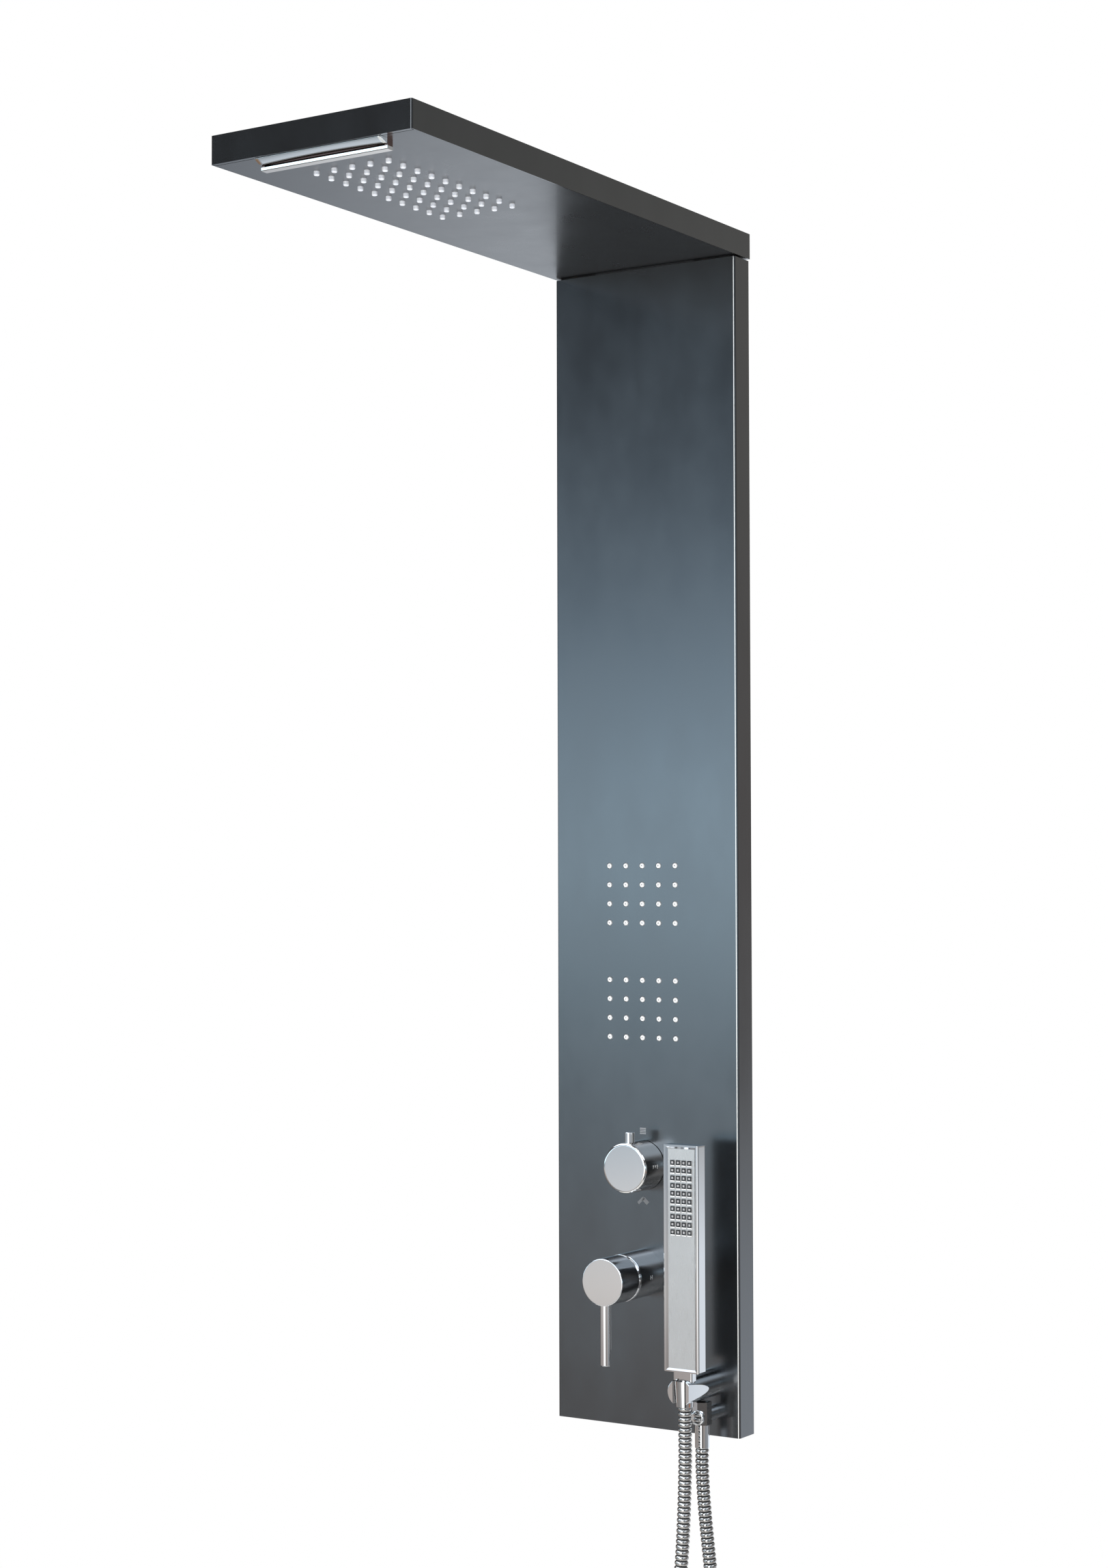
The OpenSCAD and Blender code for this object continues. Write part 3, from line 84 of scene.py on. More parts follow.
# Strength of the background for glossy rays, for all other rays, and for the camera
MIRRORED_LIGHT, FILL_LIGHT, CAMERA_WHITE = 4.0, 0.6, 1.0

# What glossy rays see of the studio. A stop by height starts with the sine of the angle over the horizon, and
# a stop by width with the sine of the turn to the right. By height the light follows, which the ramp holds at
# a quarter because it can pass one, and by width a grey share of it.
LIGHT_SCALE = 0.25
FRONT_BY_HEIGHT = (
    (-1.0, (0.21, 0.22, 0.24)), (-0.4, (0.23, 0.25, 0.27)), (-0.25, (0.40, 0.38, 0.37)),
    (-0.19, (0.42, 0.38, 0.36)), (-0.175, (0.46, 0.42, 0.41)), (-0.155, (0.70, 0.67, 0.65)),
    (-0.13, (0.65, 0.66, 0.68)), (-0.105, (0.50, 0.56, 0.63)), (-0.08, (0.35, 0.43, 0.49)),
    (-0.06, (0.44, 0.58, 0.67)), (-0.03, (1.18, 1.58, 1.80)), (0.0, (2.08, 2.68, 3.07)),
    (0.025, (1.83, 2.42, 2.84)), (0.06, (1.03, 1.40, 1.73)), (0.09, (0.65, 0.84, 1.03)),
    (0.12, (0.39, 0.50, 0.61)), (0.15, (0.19, 0.22, 0.26)), (0.18, (0.08, 0.09, 0.10)),
    (0.215, (0.08, 0.09, 0.10)), (0.24, (0.13, 0.13, 0.13)), (0.44, (0.12, 0.12, 0.13)),
    (0.5, (2.99, 3.30, 3.69)), (0.7, (3.37, 3.65, 4.01)), (0.8, (1.12, 1.20, 1.30)),
    (1.0, (0.75, 0.80, 0.87)),
)
FRONT_BY_WIDTH = (
    (-1.0, 0.6), (-0.66, 0.8), (-0.57, 0.82), (-0.52, 0.93), (-0.46, 1.15), (-0.3, 1.25), (-0.2, 1.2),
    (0.36, 1.0), (0.42, 0.2), (0.64, 0.2), (0.7, 0.75), (0.9, 0.8), (1.0, 0.7),
)
# A tall pale screen stands straight in front of the column.
SCREEN_BY_HEIGHT = (
    (-1.0, (0.15, 0.16, 0.17)), (-0.4, (0.2, 0.21, 0.22)), (-0.25, (2.0, 2.0, 2.0)), (0.25, (2.2, 2.3, 2.4)),
    (0.4, (1.5, 1.75, 2.0)), (0.7, (1.1, 1.25, 1.4)), (1.0, (0.5, 0.5, 0.5)),
)
SCREEN_BY_WIDTH = ((-0.22, 0.0), (-0.14, 1.0), (0.34, 1.0), (0.41, 0.0))
BEHIND_BY_HEIGHT = (
    (-1.0, (0.75, 0.80, 0.87)), (-0.3, (0.94, 1.00, 1.08)), (-0.14, (0.84, 0.90, 0.98)),
    (-0.11, (0.58, 0.61, 0.65)), (-0.085, (0.37, 0.36, 0.36)), (0.0, (0.34, 0.31, 0.30)),
    (0.2, (0.37, 0.36, 0.34)), (0.3, (0.25, 0.25, 0.24)), (0.6, (0.37, 0.40, 0.43)), (1.0, (0.75, 0.80, 0.87)),
)
# Sines of the ray's turn to the wall between which the view in front gives way to the one behind, and of its
# turn to the right between which the room's far right end begins
BEHIND_EDGE = (-0.2, 0.3)
RIGHT_END_BY_WIDTH = ((0.935, 0.0), (0.955, 1.0))
# The stops of these two start with the place from 0 to 1, left to right and bottom to top.
BEHIND_ACROSS = (
    (0.0, (0.7, 0.7, 0.7)), (0.04, (0.31, 0.2, 0.13)), (0.1, (0.31, 0.2, 0.13)), (0.12, (0.3, 0.3, 0.32)),
    (0.18, (0.34, 0.35, 0.37)), (0.225, (0.8, 0.8, 0.8)), (0.25, (1.15, 1.15, 1.15)), (0.36, (1.1, 1.1, 1.1)),
    (0.8, (1.0, 1.0, 1.0)), (0.84, (0.35, 0.35, 0.35)), (0.9, (0.35, 0.35, 0.35)),
)
RIGHT_END = (
    (0.3, (0.08, 0.04, 0.025)), (0.385, (0.11, 0.05, 0.027)), (0.395, (0.06, 0.065, 0.07)),
    (0.43, (0.07, 0.075, 0.08)), (0.46, (0.09, 0.095, 0.1)),
)

# Colours of the finishes that have no setting
# Painted highlight along the head's front lower fold
HEAD_FOLD_HIGHLIGHT = (0.3, 0.33, 0.36)
SPOUT_PLATE = (0.96, 0.9, 0.83)
# Painted shade inside the spout's slit
SLIT_SHADE = (0.2, 0.13, 0.11)
APRON_PLATE = (0.96, 1.0, 1.0)
KNOB_PLATE = (1.0, 0.97, 0.94)
HOSE_PLATE = (0.66, 0.635, 0.61)
# Painted shade at the bottom of the hose's grooves
HOSE_GROOVE_SHADE = (0.03, 0.03, 0.032)
RAIN_SILICONE = (0.86, 0.89, 0.95)
JET_SILICONE = (0.72, 0.73, 0.74)
HANDSET_SILICONE = (0.62, 0.63, 0.64)
# Painted shade: the dark square in the groove round each handset nozzle
NOZZLE_GROOVE_SHADE = (0.022, 0.023, 0.025)
NOZZLE_TIP = (0.4, 0.4, 0.41)
# Painted highlight: the white bar under each handset nozzle, where its lower side catches the light
NOZZLE_RIM_HIGHLIGHT = (0.9, 0.9, 0.9)
CHAMBER_PLASTIC = (0.055, 0.056, 0.06)
CARTRIDGE_PLASTIC = (0.72, 0.69, 0.6)
PIPE_PLASTIC = (0.74, 0.74, 0.72)
# Painted shade: the head's bracket and the seam's gaskets are nearly black so the seam between column and head
# shows as shade
BLACK_SEAM_SHADE = (0.02, 0.02, 0.021)
SEAM_SHADE = (0.012, 0.012, 0.013)
BRASS = (0.66, 0.50, 0.25)
ZINC = (0.56, 0.57, 0.58)
BLACK_SCREW = (0.06, 0.06, 0.06)
BRAID = (0.58, 0.59, 0.6)

# The folds' lighter lines, on the column partly worn coat and partly painted highlight, on the head a painted
# highlight: the way that each faces, and the cosines between which its line fades in
COLUMN_FOLD_WAY = (0.37, -0.93, 0.0)
HEAD_FOLD_WAY = (0.0, -0.8, -0.6)
FOLD_START, FOLD_FULL = 0.965, 0.99

# The spout's front, in metres over its foot: where the lip ends, where the painted shade inside the slit starts
# and where it is full, and where the apron ends; and the lean of the shading at the lip, at the apron's foot
# and, added above that, at the top
LIP_TOP, SHADE_START, SHADE_FULL, APRON_FOOT = 0.003, 0.0031, 0.0033, 0.0048
LIP_LEAN, FOOT_LEAN, TOP_LEAN = -0.14, -0.102, 0.012

# The hose's route in millimetres, heights from the column's foot, from the cone nut down and round
# to the outlet
HOSE_ROUTE = [
    (75, -81, 38), (75, -81, 20), (75, -81, -20), (74, -83, -80), (72, -86, -130),
    (68, -92, -180), (61, -102, -230), (52, -116, -290), (43, -129, -340), (37, -138, -380),
    (37, -139, -410), (44, -128, -442), (58, -104, -466), (73, -78, -474), (89, -51, -464),
    (102, -30, -438), (109, -19, -405), (107, -21, -360), (102, -28, -300), (95, -36, -240),
    (88, -43, -180), (84, -48, -120), (81, -52, -70), (79.5, -54, -30), (79.5, -54, -8),
]
# Its ribs: shares of one rib's length with the share of the groove's depth there
RIB_PROFILE = (
    (0.0, 1.0), (0.08, 0.55), (0.2, 0.13), (0.36, 0.0), (0.52, 0.02), (0.68, 0.18), (0.8, 0.5), (0.9, 1.0),
)
# The level direction by which its rings are lined up
HOSE_NORMAL = Vector((-0.853, 0.523, 0))
# Two points in metres from the column's foot, and a line that rises one metre while it goes four level,
# along which the way from the first to the second is measured
BLEND_FROM = Vector((0.0795, -0.054, -0.008))
BLEND_TO = Vector((0.075, -0.081, 0.022))
BLEND_WAY = Vector((-0.523 * 4, -0.853 * 4, 1.0))


# Sizes and colours that a user would change

class PanelFinish(PropertyGroup):
    steel: FloatVectorProperty(
        name="Coated steel", description="Colour of the dark coat on the folded steel", subtype="COLOR",
        size=3, min=0, max=1, default=(0.155, 0.160, 0.166))
    steel_roughness: FloatProperty(
        name="Gloss of the column", description="Roughness of the column's coat", default=0.21, min=0.02, max=0.6)
    head_roughness: FloatProperty(
        name="Gloss of the head", description="Roughness of the head's coat", default=0.24, min=0.02, max=0.6)
    # The fold's line is partly worn coat and partly painted highlight, where the fold faces the studio's bright
    # strip
    fold: FloatVectorProperty(
        name="Fold", description="Colour of the thin line where the coat is worn along the fold", subtype="COLOR",
        size=3, min=0, max=1, default=(0.62, 0.62, 0.60))
    waviness: FloatProperty(
        name="Waviness", description="Height of the slow waves in the sheet", default=0.00005,
        min=0, max=0.002, precision=5, subtype="DISTANCE", unit="LENGTH")
    fold_radius: FloatProperty(
        name="Edge rounding", description="Rounding of the sheet's cut edges", default=0.0006,
        min=0.0001, max=0.001, precision=5, subtype="DISTANCE", unit="LENGTH")


class ChromeFinish(PropertyGroup):
    plate: FloatVectorProperty(
        name="Chrome", description="Colour of the polished plate", subtype="COLOR",
        size=3, min=0, max=1, default=(0.87, 0.875, 0.88))
    roughness: FloatProperty(
        name="Polish", description="Roughness of the polished plate", default=0.045, min=0.01, max=0.4)
    edge: FloatProperty(
        name="Edge rounding", description="Rounding of the plated edges", default=0.0004,
        min=0.0001, max=0.001, precision=5, subtype="DISTANCE", unit="LENGTH")
    satin: FloatVectorProperty(
        name="Handset face", description="Colour of the handset's satin face", subtype="COLOR",
        size=3, min=0, max=1, default=(0.655, 0.63, 0.61))


class HoseShape(PropertyGroup):
    outer: FloatProperty(
        name="Diameter", description="Outer diameter over the ribs", default=0.014, min=0.012, max=0.0144,
        precision=4, subtype="DISTANCE", unit="LENGTH")
    groove: FloatProperty(
        name="Groove", description="Depth of the grooves between the ribs", default=0.0014, min=0.0005, max=0.0018,
        precision=5, subtype="DISTANCE", unit="LENGTH")
    ribs: IntProperty(
        name="Ribs", description="Ribs along the hose", default=200, min=120, max=240)
    sides: IntProperty(
        name="Sides", description="Faces round the hose", default=28, min=12, max=48)


class PrintedMarks(PropertyGroup):
    ink: FloatVectorProperty(
        name="Ink", description="Colour of the marks on the column", subtype="COLOR",
        size=3, min=0, max=1, default=(0.42, 0.44, 0.46))
    reach: FloatProperty(
        name="Reach", description="Distance of the marks from the knob's axis", default=0.037, min=0.032, max=0.042,
        precision=4, subtype="DISTANCE", unit="LENGTH")
    thickness: FloatProperty(
        name="Thickness", description="Height of the ink on the surface", default=0.00012, min=0.00005, max=0.0003,
        precision=5, subtype="DISTANCE", unit="LENGTH")


class StudioSet(PropertyGroup):
    floor_drop: FloatProperty(
        name="Floor below the column", description="Distance from the column's foot to the floor", default=0.9,
        min=0.6, max=1.4, subtype="DISTANCE", unit="LENGTH")
    lamp_power: FloatProperty(
        name="Lamps", description="Power of the large front lamp", default=34, min=1, max=300, subtype="POWER",
        unit="POWER")


# Surfaces

def wire(tree, source, target):
    tree.links.new(source, target)


def new_surface(name, metallic, roughness, colour, **sockets):
    """A plain material, with its node tree and its shader for more to be wired in."""
    surface = bpy.data.materials.new(name)
    surface.use_nodes = True
    shader = surface.node_tree.nodes["Principled BSDF"]
    shader.inputs["Metallic"].default_value = metallic
    shader.inputs["Roughness"].default_value = roughness
    shader.inputs["Base Color"].default_value = (*colour, 1)
    for key, value in sockets.items():
        shader.inputs[key.replace("_", " ")].default_value = value
    return surface, surface.node_tree, shader


def place(tree, scale=(1, 1, 1)):
    """The place on the piece, stretched by the scale."""
    where = tree.nodes.new("ShaderNodeTexCoord")
    fit = tree.nodes.new("ShaderNodeMapping")
    fit.inputs["Scale"].default_value = scale
    wire(tree, where.outputs["Object"], fit.inputs["Vector"])
    return fit.outputs["Vector"]


def noise(tree, vector, scale, detail=3.0, roughness=0.5):
    """A cloudy value round one half."""
    made = tree.nodes.new("ShaderNodeTexNoise")
    made.inputs["Scale"].default_value = scale
    made.inputs["Detail"].default_value = detail
    made.inputs["Roughness"].default_value = roughness
    wire(tree, vector, made.inputs["Vector"])
    return made.outputs["Fac"]


def spread(tree, value, low, high, start=0.3, end=0.7):
    """Maps the range from start to end onto the one from low to high."""
    made = tree.nodes.new("ShaderNodeMapRange")
    made.inputs["From Min"].default_value = start
    made.inputs["From Max"].default_value = end
    made.inputs["To Min"].default_value = low
    made.inputs["To Max"].default_value = high
    wire(tree, value, made.inputs["Value"])
    return made.outputs["Result"]


def tint(tree, shader, value, colours):
    """Lets the base colour wander between the colours as the value does."""
    ramp = tree.nodes.new("ShaderNodeValToRGB")
    ramp.color_ramp.elements[0].position = 0.3
    ramp.color_ramp.elements[0].color = (*colours[0], 1)
    ramp.color_ramp.elements[1].position = 0.7
    ramp.color_ramp.elements[1].color = (*colours[-1], 1)
    wire(tree, value, ramp.inputs["Fac"])
    wire(tree, ramp.outputs["Color"], shader.inputs["Base Color"])
    return ramp


def relief(tree, shader, value, distance, strength=1.0, under=None):
    """Bumps the surface by the value, over the relief that is under it."""
    bump = tree.nodes.new("ShaderNodeBump")
    bump.inputs["Strength"].default_value = strength
    bump.inputs["Distance"].default_value = distance
    wire(tree, value, bump.inputs["Height"])
    if under is not None:
        wire(tree, under, bump.inputs["Normal"])
    wire(tree, bump.outputs["Normal"], shader.inputs["Normal"])
    return bump.outputs["Normal"]


def shaded(colour, share):
    return tuple(min(1.0, c * share) for c in colour)


def coated_steel(name, colour, roughness, waves, fold=None, way=COLUMN_FOLD_WAY):
    """Folded steel under a thin dark coat: a soft mirror with slow waves, a fine grain and paler folds."""
    surface, tree, shader = new_surface(name, 1.0, roughness, colour, Coat_Weight=0.15, Coat_Roughness=0.1)
    slow = noise(tree, place(tree), 3.5, 2.0)
    fine = noise(tree, place(tree), 900.0, 2.0)
    cloud = noise(tree, place(tree, (2, 2, 1)), 9.0, 4.0, 0.6)
    coat = tint(tree, shader, cloud, (shaded(colour, 0.95), shaded(colour, 1.05)))
    wire(tree, spread(tree, cloud, roughness * 0.9, roughness * 1.15), shader.inputs["Roughness"])
    # The fold's lighter line: on the column partly worn coat and partly painted highlight, on the head a painted
    # highlight
    if fold:
        wire(tree, mixed(tree, folded(tree, way), coat.outputs["Color"], fold), shader.inputs["Base Color"])
    waved = relief(tree, shader, slow, waves)
    relief(tree, shader, fine, 0.000001, 0.4, waved)
    return surface


def mixed(tree, share, first, second, blend="MIX"):
    """Blends two colours by the share; each of the three is a socket or plain numbers."""
    made = tree.nodes.new("ShaderNodeMix")
    made.data_type = "RGBA"
    made.blend_type = blend
    for value, key in ((share, "Factor"), (first, "A"), (second, "B")):
        if isinstance(value, bpy.types.NodeSocket):
            wire(tree, value, made.inputs[key])
        else:
            made.inputs[key].default_value = (*value, 1) if isinstance(value, tuple) else value
    return made.outputs["Result"]


def folded(tree, way):
    """One on the rounded fold that faces that way, nought on the flat faces."""
    bend = tree.nodes.new("ShaderNodeTexCoord")
    lean = tree.nodes.new("ShaderNodeVectorMath")
    lean.operation = "DOT_PRODUCT"
    lean.inputs[1].default_value = way
    wire(tree, bend.outputs["Normal"], lean.inputs[0])
    return spread(tree, lean.outputs["Value"], 0.0, 1.0, FOLD_START, FOLD_FULL)


def polished_plate(name, colour, roughness):
    """Chrome plate: faint handling marks in the gloss and a barely uneven base."""
    surface, tree, shader = new_surface(name, 1.0, roughness, colour)
    smear = noise(tree, place(tree, (1, 1, 0.35)), 42.0, 5.0, 0.6)
    hair = noise(tree, place(tree, (1, 1, 0.08)), 900.0, 2.0)
    wire(tree, spread(tree, smear, roughness * 0.8, roughness * 1.5), shader.inputs["Roughness"])
    tint(tree, shader, smear, (shaded(colour, 0.985), shaded(colour, 1.01)))
    relief(tree, shader, hair, 0.000002, 0.35)
    return surface


def satin_plate(name, colour):
    """The handset's face: fine satin lines along its length."""
    surface, tree, shader = new_surface(name, 0.85, 0.3, colour)
    lines = noise(tree, place(tree, (1, 1, 0.02)), 2600.0, 2.0)
    wire(tree, spread(tree, lines, 0.26, 0.36), shader.inputs["Roughness"])
    tint(tree, shader, noise(tree, place(tree), 30.0, 3.0), (shaded(colour, 0.97), shaded(colour, 1.02)))
    relief(tree, shader, lines, 0.000002, 0.3)
    return surface


def soft_silicone(name, colour, gloss):
    """Silicone nozzles: a little light passes through, with a fine moulded skin."""
    surface, tree, shader = new_surface(
        name, 0.0, gloss, colour, Subsurface_Weight=0.18, Subsurface_Scale=0.0015, IOR=1.41)
    shader.inputs["Subsurface Radius"].default_value = (1.0, 0.9, 0.8)
    skin = noise(tree, place(tree), 1400.0, 3.0)
    tint(tree, shader, noise(tree, place(tree), 160.0, 2.0), (shaded(colour, 0.94), colour))
    wire(tree, spread(tree, skin, gloss * 0.85, gloss * 1.15), shader.inputs["Roughness"])
    relief(tree, shader, skin, 0.00001, 0.5)
    return surface


def turned_brass(name, colour):
    """Cast and turned brass: tool rings and small dull patches."""
    surface, tree, shader = new_surface(name, 1.0, 0.3, colour)
    rings = tree.nodes.new("ShaderNodeTexWave")
    rings.wave_type = "BANDS"
    rings.bands_direction = "Y"
    rings.inputs["Scale"].default_value = 420.0
    rings.inputs["Distortion"].default_value = 0.8
    wire(tree, place(tree), rings.inputs["Vector"])
    patch = noise(tree, place(tree), 55.0, 4.0, 0.65)
    tint(tree, shader, patch, (shaded(colour, 0.78), shaded(colour, 1.05)))
    wire(tree, spread(tree, patch, 0.24, 0.46), shader.inputs["Roughness"])
    relief(tree, shader, rings.outputs["Fac"], 0.00002, 0.4)
    return surface


def zinc_plate(name, colour):
    """Zinc-plated steel: a spangle of flat grains."""
    surface, tree, shader = new_surface(name, 1.0, 0.35, colour)
    grain = tree.nodes.new("ShaderNodeTexVoronoi")
    grain.inputs["Scale"].default_value = 180.0
    wire(tree, place(tree), grain.inputs["Vector"])
    tint(tree, shader, grain.outputs["Distance"], (shaded(colour, 0.86), shaded(colour, 1.04)))
    wire(tree, spread(tree, grain.outputs["Distance"], 0.28, 0.44, 0.1, 0.6), shader.inputs["Roughness"])
    relief(tree, shader, noise(tree, place(tree), 600.0, 3.0), 0.000012, 0.4)
    return surface


def moulded_plastic(name, colour, roughness, grain=0.00003):
    """Plastic, foam or a sprayed coat with a fine grain."""
    surface, tree, shader = new_surface(name, 0.0, roughness, colour)
    skin = noise(tree, place(tree), 700.0, 4.0, 0.6)
    tint(tree, shader, noise(tree, place(tree), 18.0, 3.0), (shaded(colour, 0.92), shaded(colour, 1.04)))
    wire(tree, spread(tree, skin, roughness * 0.85, roughness * 1.15), shader.inputs["Roughness"])
    relief(tree, shader, skin, grain, 0.5)
    return surface


def steel_braid(name, colour):
    """The supply hoses' stainless braid: two crossing sets of strands."""
    surface, tree, shader = new_surface(name, 1.0, 0.3, colour)
    strands = []
    for lean in (1, -1):
        turned = tree.nodes.new("ShaderNodeTexWave")
        turned.wave_type = "BANDS"
        turned.bands_direction = "DIAGONAL"
        turned.inputs["Scale"].default_value = 190.0
        wire(tree, place(tree, (lean, lean, 1)), turned.inputs["Vector"])
        strands.append(turned.outputs["Fac"])
    weave = tree.nodes.new("ShaderNodeMath")
    weave.operation = "MAXIMUM"
    wire(tree, strands[0], weave.inputs[0])
    wire(tree, strands[1], weave.inputs[1])
    tint(tree, shader, weave.outputs["Value"], (shaded(colour, 0.35), colour))
    wire(tree, spread(tree, weave.outputs["Value"], 0.5, 0.25), shader.inputs["Roughness"])
    relief(tree, shader, weave.outputs["Value"], 0.0004, 0.8)
    return surface


def ribbed_chrome(name, colour):
    """The hose's plate, rubbed dull in places."""
    surface, tree, shader = new_surface(name, 1.0, 0.09, colour)
    rub = noise(tree, place(tree), 260.0, 4.0, 0.6)
    tint(tree, shader, rub, (shaded(colour, 0.85), shaded(colour, 1.05)))
    wire(tree, spread(tree, rub, 0.06, 0.16), shader.inputs["Roughness"])
    relief(tree, shader, noise(tree, place(tree), 1500.0, 2.0), 0.000006, 0.4)
    return surface


def groove_shade(name, colour):
    """Painted shade: the dull, nearly black bottom of the hose's grooves."""
    surface, tree, shader = new_surface(name, 0.6, 0.5, colour)
    tint(tree, shader, noise(tree, place(tree), 400.0), ((0.02, 0.02, 0.02), (0.05, 0.05, 0.052)))
    return surface


def printed_ink(name, colour):
    """Matt ink with fine specks."""
    surface, tree, shader = new_surface(name, 0.0, 0.5, colour)
    speck = noise(tree, place(tree), 2200.0, 2.0)
    tint(tree, shader, speck, (shaded(colour, 0.88), colour))
    relief(tree, shader, speck, 0.000005, 0.4)
    return surface


def dress(names, surface):
    """Gives CAD nodes their surface."""
    for name in names:
        piece = nodes[name]
        piece.data.materials.clear()
        piece.data.materials.append(surface)


def round_edges(names, width):
    """Rounds the sharp edges of CAD nodes and evens out the shading beside them."""
    for name in names:
        bevel = nodes[name].modifiers.new("edges", "BEVEL")
        bevel.width = width
        bevel.segments = 2
        bevel.limit_method = "ANGLE"
        bevel.angle_limit = math.radians(40)
        bevel.harden_normals = False
        bevel.use_clamp_overlap = True
        nodes[name].modifiers.new("shading", "WEIGHTED_NORMAL").keep_sharp = True


# Shapes

def new_piece(name, mesh, surface, body):
    """Makes a visible piece of a mesh and lets it ride on a body, if one is given."""
    mesh.materials.append(surface)
    piece = bpy.data.objects.new(name, mesh)
    bpy.context.scene.collection.objects.link(piece)
    if body:
        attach(piece, body)
    return piece


def curve_point(before, start, end, after, t):
    """A point of the smooth curve from start to end, at the share t of the way."""
    return 0.5 * (2 * start + (end - before) * t + (2 * before - 5 * start + 4 * end - after) * t * t
                  + (3 * start - before - 3 * end + after) * t * t * t)


def hose_line(steps=24):
    """The hose's centreline as close points, from the cone nut to the outlet."""
    route = [Vector(p) * MM + Vector((0, 0, COLUMN_FOOT)) for p in HOSE_ROUTE]
    ends = [2 * route[0] - route[1], *route, 2 * route[-1] - route[-2]]
    line = [curve_point(*ends[i:i + 4], k / steps) for i in range(len(route) - 1) for k in range(steps)]
    return line + [route[-1]]


def along(line):
    """Returns a function from a length along the line to the point there, and the whole length."""
    reach = [0.0]
    for a, b in zip(line, line[1:]):
        reach.append(reach[-1] + (b - a).length)

    def at(length):
        length = max(0.0, min(reach[-1], length))
        low, high = 0, len(reach) - 1
        while high - low > 1:
            middle = (low + high) // 2
            low, high = (middle, high) if reach[middle] <= length else (low, middle)
        share = (length - reach[low]) / (reach[high] - reach[low])
        return line[low].lerp(line[high], share)

    return at, reach[-1]


def flat_mark(name, outlines, thickness, lift):
    """Thin shapes on a surface: outlines are closed loops of (x, z), lift turns one into a point."""
    shape = bmesh.new()
    for outline in outlines:
        low = [shape.verts.new(lift(u, v, 0)) for u, v in outline]
        high = [shape.verts.new(lift(u, v, thickness)) for u, v in outline]
        shape.faces.new(high)
        shape.faces.new(low[::-1])
        for i in range(len(outline)):
            j = (i + 1) % len(outline)
            shape.faces.new((low[i], low[j], high[j], high[i]))
    bmesh.ops.recalc_face_normals(shape, faces=shape.faces)
    mesh = bpy.data.meshes.new(name)
    shape.to_mesh(mesh)
    shape.free()
    return mesh


def bar(x, z, width, height, lean=0.0):
    """The outline of a bar round its middle, turned by the lean."""
    half_w, half_h = width / 2, height / 2
    cos, sin = math.cos(lean), math.sin(lean)
    return [(x + u * cos - v * sin, z + u * sin + v * cos)
            for u, v in ((-half_w, -half_h), (half_w, -half_h), (half_w, half_h), (-half_w, half_h))]


def dot(x, z, radius, count=14):
    """The outline of a round dot."""
    return [(x + radius * math.cos(2 * math.pi * i / count), z + radius * math.sin(2 * math.pi * i / count))
            for i in range(count)]


# Operators, one for each piece or group of like pieces

